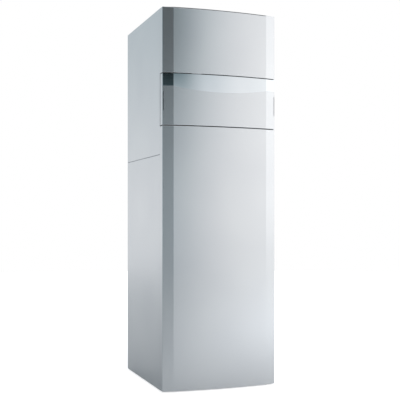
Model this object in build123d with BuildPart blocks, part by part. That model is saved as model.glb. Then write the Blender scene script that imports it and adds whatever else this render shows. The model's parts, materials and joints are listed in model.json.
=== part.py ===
from build123d import *
import os
from math import sqrt

# A floor standing gas boiler: a sheet steel tower with a bowed front, a control flap, a burner above and
# a hot water cylinder below. Millimetres, +Z up, front towards -Y, origin on the floor under the middle.

# Casing, driving sizes
width = 599
height = 1880
side_depth = 665
bow_rise = 28
strip_width = 53
strip_rise = 13
return_depth = 40
flap_setback = 2
panel_gap = 4
seam_gap = 1
floor_gap = 6
crown_drop = 4
sheet = 1.2
corner_round = 4
crease_round = 3
overrun = 10

# Seats and running fits
seat_gap = 0.3
running_fit = 0.05
key_play = 0.3

# Casing, panel edges
edge_flange = 22
edge_flange_inset = 6.5
return_flange = 22
side_flange = 8
hinge_room = 56
cover_inset = 2
cover_rim = 14
cover_rim_front = 45

# Base, feet and uprights
frame_wall = 2.5
frame_setback = 47
base_flange = 30
upright_leg = 25
upright_wall = 2
foot_inset = 44.5
foot_front = 95
foot_rear = 45
foot_pad_radius = 20
foot_pad_chamfer = 2
foot_stem_radius = 5
foot_stem_length = 46
foot_nut_radius = 12
foot_nut_height = 20
shelf_drop = 4
shelf_wall = 2
shelf_flange = 20
shelf_hole_play = 3

# Screws and catches
screw_radius = 2
screw_head_radius = 4
screw_head = 2.4
screw_length = 9
screw_play = 0.1
catch_inset = 22.8
catch_width = 15
catch_height = 24
catch_rises = (160, 620)
catch_drops = (800, 220, 40)
magnet_rises = (47, 195)
magnet_pad = 5

# Control flap
flap_wall = 2.5
hinge_inset = 8
hinge_pin_radius = 3
hinge_pin_grip = 12
hinge_boss_radius = 7
hinge_boss_height = 16
hinge_arm_radius = 6
hinge_arm_inset = 10.5
hinge_arm_width = 13
hinge_arm_wall = 3
hinge_tab = 44
hinge_collar_radius = 5.5
hinge_screw_drops = (14, 32)
band_wall = 1.2
band_end_height = 61
band_middle_height = 84
grip_width = 6
grip_rise = 67
grip_height = 98
grip_depth = 18
liner_wall = 1.2

# Controls
fascia_inset = 37.5
fascia_height = 215
fascia_rise = 20
fascia_drop = 16
fascia_setback = 7.5
fascia_wall = 2.5
box_depth = 96
box_wall = 2.5
ear_width = 29
ear_rise = 77
ear_height = 56
ear_wall = 2
board_half = 150
board_margin = 20
board_wall = 1.6
standoff_radius = 4
standoff_length = 24
standoff_inset = 8
chip_half = 22
chip_depth = 7
relay_width = 18
relay_height = 28
relay_depth = 15
relay_pitch = 30
relay_count = 4
window_half = 60
window_rise = 100
window_height = 70
screen_margin = 4
screen_depth = 8
key_board_half = 92
key_board_rise = 37
key_radius = 7
key_row_rise = 63
key_pitch = 40
key_proud = 2.5
key_flange_radius = 8.6
key_flange_wall = 2
key_travel = 1.5
key_rear_gap = 0.2
gauge_inset = 87
gauge_rise = 115
gauge_radius = 30
gauge_bezel_radius = 34
gauge_bezel_wall = 2.5
gauge_depth = 34
gauge_dial_depth = 4.5
gauge_face_radius = 27
gauge_stem_radius = 5
gauge_stem_length = 16
needle_pin_radius = 1.5
needle_pin_length = 3.2
needle_hub_radius = 4
needle_length = 21
needle_tail = 8
needle_width = 2
needle_wall = 1.2
needle_lift = 0.8
switch_inset = 87
switch_rise = 115
switch_half_width = 10
switch_half_height = 15
switch_play = 0.4
switch_proud = 3
switch_dish = 2.5
switch_back = 9
switch_back_half = 9
switch_tilt = 7
switch_pin_radius = 2
switch_pin_length = 2.5
switch_lug_wall = 3
switch_lug_radius = 5

# Hot water cylinder
tank_y = 55
tank_rise = 53.5
tank_drop = 63
tank_dome = 62
tank_wall = 3
jacket_side_gap = 22.5
jacket_rear_gap = 13.3
jacket_wall = 49
jacket_drop = 19
jacket_chamfer = 12
tank_clearance = 0.4
nozzle_offset = 78
nozzle_rise = 10
nozzle_reach = 90
anode_boss_radius = 30
anode_boss_rise = 14
anode_hole_radius = 34
anode_radius = 13
anode_length = 620
anode_head_radius = 19
anode_head = 11
drain_height = 150
drain_radius = 10.5
drain_bore = 7
drain_out = 4
valve_radius = 14
valve_length = 34
spout_radius = 9
spout_length = 34
spout_wall = 3
lever_pin_radius = 4
lever_pin_length = 8
lever_hub_radius = 9
lever_length = 46
lever_width = 11
lever_wall = 5
lever_stop_radius = 6
lever_stop = 2

# Burner and heat exchanger
burner_drop = 190
burner_radius = 140
burner_wall = 16
burner_front = -120
burner_length = 270
door_wall = 15
door_radius = 132
burner_tube_radius = 38
burner_tube_wall = 1.5
burner_tube_length = 150
burner_tube_flange = 52
fan_y = -215
fan_box_gap = 25
fan_drop = 50
fan_radius = 75
fan_half = 30
fan_wall = 3
fan_duct_half = 25
fan_inlet_radius = 34
fan_inlet_length = 18
fan_inlet_wall = 3
impeller_radius = 58
impeller_half = 20
impeller_disc = 3
impeller_hub = 12
blade_inner = 36
blade_wall = 1.6
blade_count = 18
fan_shaft_radius = 4
fan_shaft_length = 66
motor_radius = 44
motor_length = 42
motor_cap_radius = 30
motor_cap = 8
gas_valve_left = -145
gas_valve_right = -74
gas_valve_front = -257
gas_valve_rear = -183
gas_valve_drop = 92
gas_valve_height = 94
mixer_wall = 6
coil_cap_radius = 17
coil_cap = 22
flue_y = 215
flue_radius = 32.3
flue_wall = 2
flue_stop_wall = 4
flue_bend = 44
flue_socket = 45
flue_rise = 25
collar_radius = 50
collar_wall = 2.5
collar_flange_radius = 62
collar_flange = 2.5
trap_side = 60
trap_y = 0
trap_radius = 32
trap_wall = 2.5
trap_drop = 166
trap_height = 124
trap_spout_radius = 9
trap_spout_wall = 2
trap_outlet_rise = 24
hose_radius = 8
hose_wall = 1.5
hose_inset = 20.5
hose_y = 240
hose_low = 12
hose_bend = 20
hose_play = 2

# Pumps, valves and vessels
pump_y = -150
pump_box_gap = 18
pump_run_play = 2
pump_radius = 42
pump_half = 22
pump_cavity_radius = 34
pump_cavity_half = 14
pump_port_radius = 16
pump_port_reach = 60
pump_motor_radius = 36
pump_motor_length = 54
pump_shaft_radius = 4
pump_shaft_length = 44
pump_wheel_radius = 30
pump_wheel_half = 10
pump_wheel_disc = 3
pump_hub_radius = 10
pump_vane_count = 6
pump_vane_wall = 2
heating_pump_side = 0
charge_pump_side = 125
diverter_side = -125
diverter_radius = 22
diverter_motor_radius = 24
diverter_motor_length = 58
plates_inset = 34.5
plates_width = 80
plates_front = -182
plates_rear = -80
plates_height = 143
plate_pitch = 9
plate_groove = 2
plate_groove_depth = 2
vessel_rise = 241
vessel_pipe_gap = 42
vessel_front = 258
vessel_rear = 345
vessel_round = 26
vessel_port_side = -60
vessel_port_drop = 6
vessel_port_length = 26
vessel_wall = 2
relief_side = 60
relief_y = -60
relief_rise = 75
relief_height = 54
relief_radius = 15
relief_outlet_rise = 28
relief_outlet_radius = 10
relief_outlet_reach = 34
knob_radius = 17
knob_height = 20
knob_pin_radius = 5
knob_pin_length = 14
knob_groove_count = 8
knob_groove_radius = 3

# Pipes and connections
pipe_radius = 11
pipe_wall = 1
pipe_bend = 22
branch_radius = 9
gas_pipe_radius = 9
connection_y = 300
connection_inset = 129.5
connection_pitch = 40
connector_radius = 13.2
connector_length = 22
grommet_radius = 16
grommet_flange_radius = 18
grommet_flange = 2.5
gland_radius = 10
gland_bore = 4
gland_rise = 18
low_run_gap = 11
return_branch_rise = 66
return_branch_y = -110
return_branch_side = -60
charge_run_rise = 193
charge_run_y = -40
charge_port_inset = 20
charge_in_rise = 122
charge_out_rise = 57
hot_run_rise = 31
cold_run_rise = 68
cold_run_y = 200
exchanger_port_side = -80
exchanger_port_lift = 60
exchanger_port_length = 8
rise_y = 200
rise_run_rise = 281
flow_run_rise = 241
flow_y = 195
flow_turn_y = 230

# Worked out from the sizes above
half_width = width / 2
front_y = -(side_depth + bow_rise) / 2
rear_y = -front_y
corner_y = front_y + bow_rise
crease_y = corner_y - strip_rise
crease_x = half_width - strip_width
return_y = corner_y + return_depth
edge_flange_half = crease_x - edge_flange_inset
flap_back = return_y - flap_setback
inner_x = half_width - sheet
back_y = rear_y - sheet
frame_front = corner_y + frame_setback
upright_x = inner_x - frame_wall
upright_front = frame_front + frame_wall
upright_rear = back_y - frame_wall
floor_top = floor_gap + frame_wall
foot_side = half_width - foot_inset
cover_low = height - sheet
hinge_x = half_width - hinge_inset
hinge_arm_outer = half_width - hinge_arm_inset
hinge_arm_inner = hinge_arm_outer - hinge_arm_width
hinge_y = corner_y + hinge_inset
burner_height = height - burner_drop
fan_height = burner_height - fan_drop
fascia_high = fan_height - fan_radius - fan_box_gap
fascia_low = fascia_high - fascia_height
flap_high = fascia_high + fascia_drop
flap_low = fascia_low - fascia_rise
pump_height = fascia_low - pump_box_gap - pump_radius
pump_low = pump_height - pump_port_reach
low_run = pump_low - pipe_bend - pump_run_play
shelf_top = low_run - pipe_radius - low_run_gap
split_height = shelf_top + shelf_drop
catch_front = return_y + seat_gap
catch_inner = upright_x - catch_inset
catch_heights = catch_rises + tuple(height - drop for drop in catch_drops)
magnet_heights = [flap_low + rise for rise in magnet_rises]
grip_low = flap_low + grip_rise
grip_high = grip_low + grip_height
fascia_half = half_width - fascia_inset
fascia_front = return_y + fascia_setback
fascia_back = fascia_front + fascia_wall
box_back = fascia_back + box_depth
ear_low = fascia_low + ear_rise
ear_high = ear_low + ear_height
board_low = fascia_low + board_margin
board_high = fascia_high - board_margin
window_low = fascia_low + window_rise
window_high = window_low + window_height
key_board_low = fascia_low + key_board_rise
key_row_height = fascia_low + key_row_rise
gauge_height = fascia_low + gauge_rise
switch_height = fascia_low + switch_rise
gauge_side = gauge_inset - fascia_half
switch_side = fascia_half - switch_inset
jacket_radius = min(half_width - jacket_side_gap, back_y - jacket_rear_gap - tank_y)
jacket_high = shelf_top - jacket_drop
tank_radius = jacket_radius - jacket_wall
tank_low = floor_top + tank_rise
tank_high = shelf_top - tank_drop
burner_back = burner_front + burner_length
door_front = burner_front - door_wall
gas_valve_low = burner_height - gas_valve_drop
gas_valve_high = gas_valve_low + gas_valve_height
trap_high = burner_height - trap_drop
trap_low = trap_high - trap_height
trap_outlet_height = trap_low + trap_outlet_rise
hose_side = half_width - hose_inset
plates_left = plates_inset - half_width
plates_right = plates_left + plates_width
plates_high = shelf_top + plates_height
relief_low = shelf_top + relief_rise
relief_high = relief_low + relief_height
relief_outlet_height = relief_low + relief_outlet_rise
flue_top = height + flue_rise
stub_top = height + flue_rise
connector_low = stub_top - connector_length
connection_inner = half_width - connection_inset
gland_side = connection_inner - connection_pitch
vessel_height = shelf_top + vessel_rise
vessel_radius = connection_inner + connection_pitch - vessel_pipe_gap
vessel_port_low = vessel_height - vessel_radius - vessel_port_drop
return_branch_height = shelf_top + return_branch_rise
charge_high_run = shelf_top + charge_run_rise
charge_in_side = plates_right - charge_port_inset
charge_in_height = shelf_top + charge_in_rise
charge_out_side = plates_left + charge_port_inset
charge_out_height = shelf_top + charge_out_rise
hot_run = shelf_top + hot_run_rise
cold_run = shelf_top + cold_run_rise
rise_run = shelf_top + rise_run_rise
flow_run = shelf_top + flow_run_rise
tank_axis = Axis((0, tank_y, 0), (0, 0, 1))
nozzle_places = [
    (x, tank_y + y)
    for x in (-nozzle_offset, nozzle_offset)
    for y in (-nozzle_offset, nozzle_offset)
]

UP = (0, 0, 1)
DOWN = (0, 0, -1)
FORWARD = (0, -1, 0)
BACK = (0, 1, 0)
RIGHT = (1, 0, 0)
LEFT = (-1, 0, 0)


def block(low, high, mode=Mode.ADD):
    """A box between two corners, in the piece being built"""
    span = Vector(*high) - Vector(*low)
    with Locations(low):
        Box(span.X, span.Y, span.Z, align=(Align.MIN, Align.MIN, Align.MIN), mode=mode)


def rod(base, direction, radius, length, mode=Mode.ADD):
    """A round bar from the middle of its base, in the piece being built"""
    with BuildSketch(Plane(origin=base, z_dir=direction)) as outline:
        Circle(radius)
    extrude(outline.sketch, amount=length, mode=mode)


def drill(base, direction, radius, length):
    """A round hole from the middle of its mouth, in the piece being built"""
    rod(base, direction, radius, length, Mode.SUBTRACT)


def ring(base, direction, radius, bore, length):
    """A round tube from the middle of its base, in the piece being built"""
    with BuildSketch(Plane(origin=base, z_dir=direction)) as outline:
        Circle(radius)
        Circle(bore, mode=Mode.SUBTRACT)
    extrude(outline.sketch, amount=length)


def front_face(level, inset, back):
    """Plan of the wrap-round front at a level: two angled strips and the bow, closed at the back"""
    side = half_width - inset
    with BuildSketch(Plane.XY.offset(level)) as outline:
        with BuildLine():
            Polyline(
                (crease_x, crease_y + inset),
                (side, corner_y + inset),
                (side, back),
                (-side, back),
                (-side, corner_y + inset),
                (-crease_x, crease_y + inset),
            )
            ThreePointArc((-crease_x, crease_y + inset), (0, front_y + inset), (crease_x, crease_y + inset))
        make_face()
        creases = outline.vertices().group_by(Axis.Y)[0]
        fillet(creases, crease_round)
        corners = outline.vertices().filter_by_position(Axis.Y, corner_y, corner_y + inset)
        fillet(corners, corner_round - inset)
    return outline.sketch


def vessel_face(radius, low, high, dome):
    """Half section of a domed tank about its upright axis"""
    with BuildSketch(Plane(origin=(0, tank_y, 0), x_dir=(1, 0, 0), z_dir=(0, -1, 0))) as outline:
        with BuildLine():
            TangentArc((0, low), (radius, low + dome), tangent=(1, 0))
            Line((radius, low + dome), (radius, high - dome))
            TangentArc((0, high), (radius, high - dome), tangent=(1, 0))
            Line((0, high), (0, low))
        make_face()
    return outline.sketch


def bent_bar(points, radius, bend, mode=Mode.ADD):
    """A round bar along a route with rounded corners, in the piece being built"""
    with BuildLine() as route:
        if len(points) > 2:
            FilletPolyline(*points, radius=bend)
        else:
            Line(*points)
    path = route.line
    with BuildSketch(Plane(origin=path @ 0, z_dir=path % 0)) as outline:
        Circle(radius)
    sweep(outline.sketch, path=path, mode=mode)


def pipework(routes, radius, branches=()):
    """Bent pipes in the piece being built, joined to their thinner branches, then bored through"""
    for points in routes:
        bent_bar(points, radius, pipe_bend)
    for points in branches:
        bent_bar(points, branch_radius, pipe_bend)
    for points in routes:
        bent_bar(points, radius - pipe_wall, pipe_bend, Mode.SUBTRACT)
    for points in branches:
        bent_bar(points, branch_radius - pipe_wall, pipe_bend, Mode.SUBTRACT)


def connector(x, radius):
    """The threaded end of a pipe that leaves through the top, in the piece being built"""
    ring((x, connection_y, connector_low), UP, connector_radius, radius - pipe_wall, connector_length)


def write_piece(piece, label):
    """Name a finished piece and write its file"""
    piece.part.label = label
    export_step(piece.part, f"parts/{label}.step")


os.makedirs("parts", exist_ok=True)

# Base frame: a tray that carries the uprights, with a weld nut over each foot
foot_places = {
    "foot_front_left": (-foot_side, frame_front + foot_rear),
    "foot_front_right": (foot_side, frame_front + foot_rear),
    "foot_rear_left": (-foot_side, back_y - foot_rear),
    "foot_rear_right": (foot_side, back_y - foot_rear),
}
with BuildPart() as base_frame:
    block((-inner_x, frame_front, floor_gap), (inner_x, back_y, floor_gap + base_flange))
    block(
        (-upright_x, upright_front, floor_top),
        (upright_x, upright_rear, floor_gap + base_flange + overrun),
        Mode.SUBTRACT,
    )
    for x, y in foot_places.values():
        rod((x, y, floor_top), UP, foot_nut_radius, foot_nut_height)
        drill((x, y, 0), UP, foot_stem_radius + running_fit, floor_top + foot_nut_height + overrun)
    drill((hose_side, hose_y, 0), UP, hose_radius + hose_play, floor_top + overrun)
write_piece(base_frame, "base_frame")

# Levelling feet, screwed right in
for label, (x, y) in foot_places.items():
    with BuildPart() as foot:
        rod((x, y, 0), UP, foot_pad_radius, floor_gap)
        chamfer(foot.edges().group_by(Axis.Z)[-1], foot_pad_chamfer)
        rod((x, y, floor_gap), UP, foot_stem_radius, foot_stem_length)
    write_piece(foot, label)

# Screws: where each head sits, all driven towards the back
bracket_middle = (hinge_arm_inner + hinge_arm_outer) / 2
ear_screw_side = (catch_inner + upright_x) / 2
ear_middle = (ear_low + ear_high) / 2
screw_seats = [(-ear_screw_side, upright_front, ear_middle), (ear_screw_side, upright_front, ear_middle)]
for drop in hinge_screw_drops:
    screw_seats.append((bracket_middle, upright_front - upright_wall, flap_high + panel_gap + drop))
    screw_seats.append((bracket_middle, upright_front - upright_wall, flap_low - panel_gap - drop))


def screw_holes():
    """Clearance holes for the screws, through the piece being built"""
    for x, y, z in screw_seats:
        drill((x, y - overrun, z), BACK, screw_radius + screw_play, screw_length + overrun + overrun)


with BuildPart() as casing_screws:
    for x, y, z in screw_seats:
        rod((x, y, z), FORWARD, screw_head_radius, screw_head)
        rod((x, y, z), BACK, screw_radius, screw_length)
    chamfer(casing_screws.edges().group_by(Axis.Y)[0], screw_head / 3)
write_piece(casing_screws, "casing_screws")

# Four angle uprights from the base to the top cover
with BuildPart() as frame_uprights:
    for x_sign in (-1, 1):
        for y_face, y_sign in ((upright_front, 1), (upright_rear, -1)):
            outer = x_sign * upright_x
            inward = outer - x_sign * upright_leg
            thin = outer - x_sign * upright_wall
            y_leg = y_face + y_sign * upright_leg
            y_thin = y_face + y_sign * upright_wall
            block(
                (min(outer, inward), min(y_face, y_thin), floor_top),
                (max(outer, inward), max(y_face, y_thin), cover_low),
            )
            block(
                (min(outer, thin), min(y_face, y_leg), floor_top),
                (max(outer, thin), max(y_face, y_leg), cover_low),
            )
    screw_holes()
write_piece(frame_uprights, "frame_uprights")

# Carrier shelf between the cylinder and the boiler
shelf_x = upright_x - upright_wall
shelf_front = upright_front + upright_wall
shelf_rear = upright_rear - upright_wall
with BuildPart() as carrier_shelf:
    block((-shelf_x, shelf_front, shelf_top - shelf_flange), (shelf_x, shelf_rear, shelf_top))
    block(
        (shelf_wall - shelf_x, shelf_front + shelf_wall, shelf_top - shelf_flange - overrun),
        (shelf_x - shelf_wall, shelf_rear - shelf_wall, shelf_top - shelf_wall),
        Mode.SUBTRACT,
    )
    for x, y in nozzle_places:
        drill(
            (x, y, shelf_top - shelf_flange),
            UP,
            pipe_radius + shelf_hole_play,
            shelf_flange + overrun,
        )
    drill(
        (hose_side, hose_y, shelf_top - shelf_flange),
        UP,
        hose_radius + hose_play,
        shelf_flange + overrun,
    )
write_piece(carrier_shelf, "carrier_shelf")

# Rear panel
with BuildPart() as rear_panel:
    block((-inner_x, back_y, floor_gap), (inner_x, rear_y, height))
write_piece(rear_panel, "rear_panel")

# Side panels: a lower and an upper sheet on each side, with a stiffening edge at the front that is
# notched beside the flap
side_front = return_y + seam_gap
side_levels = {
    "lower": (floor_gap, split_height - panel_gap / 2),
    "upper": (split_height + panel_gap / 2, height),
}
for side_name, sign in (("left", -1), ("right", 1)):
    for level_name, (low, high) in side_levels.items():
        with BuildPart() as side_panel:
            x_limits = sorted((sign * inner_x, sign * half_width))
            block((x_limits[0], side_front, low), (x_limits[1], rear_y, high))
            x_limits = sorted((sign * (inner_x - side_flange), sign * inner_x))
            block((x_limits[0], side_front, low), (x_limits[1], side_front + sheet, min(high, cover_low)))
            block(
                (x_limits[0], side_front - overrun, flap_low - panel_gap),
                (x_limits[1], side_front + sheet, flap_high + panel_gap),
                Mode.SUBTRACT,
            )
        write_piece(side_panel, f"{side_name}_side_panel_{level_name}")

# Places of the pipes that leave through the top
flow_x = -(connection_inner + 2 * connection_pitch)
return_x = -(connection_inner + connection_pitch)
gas_x = -connection_inner
cold_x = connection_inner + connection_pitch
hot_x = connection_inner + 2 * connection_pitch
stub_radii = {
    flow_x: pipe_radius,
    return_x: pipe_radius,
    gas_x: gas_pipe_radius,
    cold_x: pipe_radius,
    hot_x: pipe_radius,
}

# Top cover: a sheet with a rim, open for the flue, the pipes and the mains gland
with BuildPart() as top_cover:
    extrude(front_face(height - cover_rim, cover_inset, back_y - seat_gap), amount=cover_rim)
    inner_back = back_y - seat_gap - sheet
    extrude(
        front_face(height - cover_rim, cover_inset + sheet, inner_back),
        amount=cover_rim - sheet,
        mode=Mode.SUBTRACT,
    )
    block(
        (-half_width, front_y, height - cover_rim),
        (half_width, front_y + cover_rim_front + bow_rise, cover_low),
        Mode.SUBTRACT,
    )
    drill((0, flue_y, height - cover_rim), UP, collar_radius, cover_rim + overrun)
    for x in stub_radii:
        drill((x, connection_y, height - cover_rim), UP, grommet_radius, cover_rim + overrun)
    drill((gland_side, connection_y, height - cover_rim), UP, gland_radius, cover_rim + overrun)
write_piece(top_cover, "top_cover")


def front_panel_edges(flange_low, flange_high):
    """Folded edges down the back of both returns, in the panel being built"""
    for sign in (-1, 1):
        x_limits = sorted((sign * (inner_x - return_flange), sign * inner_x))
        block((x_limits[0], return_y - sheet, flange_low), (x_limits[1], return_y, flange_high))


def front_panel_flange(level):
    """Folded edge behind the bow at a level, in the panel being built"""
    with BuildSketch() as outline:
        add(front_face(level, sheet, crease_y + edge_flange))
    with BuildSketch(Plane.XY.offset(level)) as limits:
        with Locations((0, front_y)):
            Rectangle(2 * edge_flange_half, 2 * (edge_flange + bow_rise))
    extrude(outline.sketch & limits.sketch, amount=sheet)


# Upper front panel: its middle stops a little below the tops of the two strips
upper_low = flap_high + panel_gap
crown = height - crown_drop
with BuildPart() as upper_front_panel:
    extrude(front_face(upper_low, 0, return_y), amount=height - upper_low)
    extrude(front_face(upper_low, sheet, return_y), amount=height - upper_low, mode=Mode.SUBTRACT)
    block((-crease_x, front_y - overrun, crown), (crease_x, corner_y, height + overrun), Mode.SUBTRACT)
    front_panel_edges(upper_low + hinge_room, crown)
    front_panel_flange(upper_low)
    front_panel_flange(crown - sheet)
write_piece(upper_front_panel, "upper_front_panel")

# Lower front panel
lower_high = flap_low - panel_gap
with BuildPart() as lower_front_panel:
    extrude(front_face(floor_gap, 0, return_y), amount=lower_high - floor_gap)
    extrude(front_face(floor_gap, sheet, return_y), amount=lower_high - floor_gap, mode=Mode.SUBTRACT)
    front_panel_edges(floor_gap, lower_high - hinge_room)
    front_panel_flange(floor_gap)
    front_panel_flange(lower_high - sheet)
write_piece(lower_front_panel, "lower_front_panel")

# Panel catches on the front uprights, and the magnets that hold the flap shut on the left
with BuildPart() as panel_catches:
    for sign in (-1, 1):
        for level in catch_heights:
            x_limits = sorted((sign * catch_inner, sign * (catch_inner + catch_width)))
            block(
                (x_limits[0], catch_front, level - catch_height / 2),
                (x_limits[1], upright_front, level + catch_height / 2),
            )
    for level in magnet_heights:
        block(
            (-catch_inner - catch_width, catch_front, level - catch_height / 2),
            (-catch_inner, upright_front, level + catch_height / 2),
        )
write_piece(panel_catches, "panel_catches")

# Trim band: a curved plate let into the top of the flap, deeper in the middle
with BuildPart() as flap_trim_band:
    band_back = corner_y + corner_round
    extrude(front_face(flap_high - band_middle_height, 0, band_back), amount=band_middle_height)
    extrude(
        front_face(flap_high - band_middle_height, band_wall, band_back),
        amount=band_middle_height,
        mode=Mode.SUBTRACT,
    )
    with BuildSketch(Plane.XZ.offset(-band_back)):
        with BuildLine():
            Polyline(
                (-crease_x, flap_high - band_end_height),
                (-half_width, flap_high - band_end_height),
                (-half_width, flap_high),
                (half_width, flap_high),
                (half_width, flap_high - band_end_height),
                (crease_x, flap_high - band_end_height),
            )
            ThreePointArc(
                (crease_x, flap_high - band_end_height),
                (0, flap_high - band_middle_height),
                (-crease_x, flap_high - band_end_height),
            )
        make_face()
    extrude(amount=bow_rise + corner_round + overrun, mode=Mode.INTERSECT)
write_piece(flap_trim_band, "flap_trim_band")

# Control flap: a shallow tray, open at the back, with a boss over each hinge pin
grip_outer = half_width - flap_wall
grip_inner = grip_outer - grip_width
with BuildPart() as control_flap:
    extrude(front_face(flap_low, 0, flap_back), amount=flap_high - flap_low)
    extrude(
        front_face(flap_low + flap_wall, flap_wall, flap_back),
        amount=flap_high - flap_low - flap_wall - flap_wall,
        mode=Mode.SUBTRACT,
    )
    for sign in (-1, 1):
        x_limits = sorted((sign * grip_inner, sign * grip_outer))
        block(
            (x_limits[0], crease_y - overrun, grip_low),
            (x_limits[1], corner_y + flap_wall + liner_wall, grip_high),
            Mode.SUBTRACT,
        )
    for base in (flap_low + flap_wall, flap_high - hinge_boss_height):
        rod((hinge_x, hinge_y, base), UP, hinge_boss_radius, hinge_boss_height - flap_wall)
    drill(
        (hinge_x, hinge_y, flap_low - overrun),
        UP,
        hinge_pin_radius + running_fit,
        hinge_boss_height + overrun,
    )
    drill(
        (hinge_x, hinge_y, flap_high + overrun),
        DOWN,
        hinge_pin_radius + running_fit,
        hinge_boss_height + overrun,
    )
    for level in magnet_heights:
        block(
            (-half_width + flap_wall, return_y - magnet_pad, level - catch_height / 2),
            (-catch_inner, return_y, level + catch_height / 2),
        )
    add(flap_trim_band.part, mode=Mode.SUBTRACT)
write_piece(control_flap, "control_flap")

# Finger grip liners: a narrow cup behind each slot at the edges of the flap
with BuildPart() as flap_grips:
    for sign in (-1, 1):
        liner_front = corner_y + flap_wall + liner_wall
        x_limits = sorted((sign * (grip_inner - liner_wall), sign * grip_outer))
        block(
            (x_limits[0], liner_front, grip_low - liner_wall),
            (x_limits[1], liner_front + grip_depth, grip_high + liner_wall),
        )
        x_limits = sorted((sign * grip_inner, sign * (grip_outer - liner_wall / 2)))
        block(
            (x_limits[0], liner_front - overrun, grip_low),
            (x_limits[1], liner_front + grip_depth - liner_wall, grip_high),
            Mode.SUBTRACT,
        )
write_piece(flap_grips, "flap_grips")

# Hinge brackets: an arm above and below the flap, each with its pin and shoulder
with BuildPart() as flap_hinges:
    for arm_low, tab_low, flap_edge, direction in (
        (upper_low, upper_low, flap_high, DOWN),
        (lower_high - hinge_arm_wall, lower_high - hinge_tab, flap_low, UP),
    ):
        block(
            (hinge_arm_inner, hinge_y, arm_low),
            (hinge_arm_outer, upright_front, arm_low + hinge_arm_wall),
        )
        rod((hinge_x, hinge_y, arm_low), UP, hinge_arm_radius, hinge_arm_wall)
        block(
            (hinge_arm_inner, hinge_y - hinge_arm_radius, arm_low),
            (hinge_x, hinge_y + hinge_arm_radius, arm_low + hinge_arm_wall),
        )
        block(
            (hinge_arm_inner, upright_front - upright_wall, tab_low),
            (hinge_arm_outer, upright_front, tab_low + hinge_tab),
        )
        side_sign = 1 if direction == UP else -1
        arm_face = flap_edge - side_sign * panel_gap
        rod((hinge_x, hinge_y, arm_face), direction, hinge_collar_radius, panel_gap - seat_gap)
        rod((hinge_x, hinge_y, arm_face), direction, hinge_pin_radius, panel_gap + hinge_pin_grip)
    screw_holes()
write_piece(flap_hinges, "flap_hinges")

# Control box: a tub behind the fascia, with ears behind the uprights
fascia_middle = (fascia_low + fascia_high) / 2
with BuildPart() as control_box:
    block((-fascia_half, fascia_back, fascia_low), (fascia_half, box_back, fascia_high))
    block(
        (box_wall - fascia_half, fascia_back - overrun, fascia_low + box_wall),
        (fascia_half - box_wall, box_back - box_wall, fascia_high - box_wall),
        Mode.SUBTRACT,
    )
    for sign in (-1, 1):
        x_limits = sorted((sign * fascia_half, sign * (fascia_half + ear_width)))
        block((x_limits[0], shelf_front, ear_low), (x_limits[1], shelf_front + ear_wall, ear_high))
        for level in (board_low + standoff_inset, board_high - standoff_inset):
            rod(
                (sign * (board_half - standoff_inset), box_back - box_wall, level),
                FORWARD,
                standoff_radius,
                standoff_length,
            )
    screw_holes()
write_piece(control_box, "control_box")

# Circuit board with its processor and a row of relays
board_back = box_back - box_wall - standoff_length
board_front = board_back - board_wall
relay_low = board_low + 2 * standoff_inset + 2 * standoff_radius
with BuildPart() as circuit_board:
    block((-board_half, board_front, board_low), (board_half, board_back, board_high))
    block(
        (-chip_half, board_front - chip_depth, fascia_middle),
        (chip_half, board_front, fascia_middle + chip_half + chip_half),
    )
    for index in range(relay_count):
        x = -board_half + relay_pitch * (index + 1)
        block(
            (x, board_front - relay_depth, relay_low),
            (x + relay_width, board_front, relay_low + relay_height),
        )
write_piece(circuit_board, "circuit_board")

# Fascia: openings for the display, the keys, the gauge and the power switch
key_places = {"key_back": -1.5, "key_minus": -0.5, "key_plus": 0.5, "key_confirm": 1.5}
switch_y = fascia_front + switch_dish
with BuildPart() as control_fascia:
    block((-fascia_half, fascia_front, fascia_low), (fascia_half, fascia_back, fascia_high))
    block(
        (-window_half, fascia_front - overrun, window_low),
        (window_half, fascia_back + overrun, window_high),
        Mode.SUBTRACT,
    )
    for place in key_places.values():
        drill(
            (place * key_pitch, fascia_front - overrun, key_row_height),
            BACK,
            key_radius + key_play,
            fascia_wall + overrun + overrun,
        )
    drill(
        (gauge_side, fascia_front - overrun, gauge_height),
        BACK,
        gauge_radius,
        fascia_wall + 2 * overrun,
    )
    switch_open_x = switch_half_width + switch_play
    switch_open_z = switch_half_height + switch_play
    block(
        (switch_side - switch_open_x, fascia_front - overrun, switch_height - switch_open_z),
        (switch_side + switch_open_x, fascia_back + overrun, switch_height + switch_open_z),
        Mode.SUBTRACT,
    )
    for sign in (-1, 1):
        x_limits = sorted((sign * switch_open_x, sign * (switch_open_x + switch_lug_wall)))
        block(
            (switch_side + x_limits[0], fascia_back, switch_height - switch_lug_radius),
            (switch_side + x_limits[1], switch_y + switch_lug_radius, switch_height + switch_lug_radius),
        )
    drill(
        (switch_side - switch_half_width - switch_pin_length - running_fit, switch_y, switch_height),
        RIGHT,
        switch_pin_radius + running_fit,
        2 * (switch_half_width + switch_pin_length + running_fit),
    )
write_piece(control_fascia, "control_fascia")

# Power switch: a rocker on two short pins, tipped to its off side
with BuildPart() as power_switch:
    rocker_plane = Plane(origin=(switch_side, switch_y, switch_height), x_dir=(0, 1, 0), z_dir=(1, 0, 0))
    with BuildSketch(rocker_plane.rotated((switch_tilt, 0, 0))):
        with BuildLine():
            Polyline(
                (-switch_dish, 0),
                (-switch_dish - switch_proud, switch_half_height - switch_play),
                (switch_play, switch_half_height - switch_play),
                (switch_back, switch_back_half),
                (switch_back, -switch_back_half),
                (switch_play, switch_play - switch_half_height),
                (-switch_dish - switch_proud, switch_play - switch_half_height),
                close=True,
            )
        make_face()
    extrude(amount=switch_half_width, both=True)
    rod(
        (switch_side - switch_half_width - switch_pin_length, switch_y, switch_height),
        RIGHT,
        switch_pin_radius,
        2 * (switch_half_width + switch_pin_length),
    )
write_piece(power_switch, "power_switch")

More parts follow.
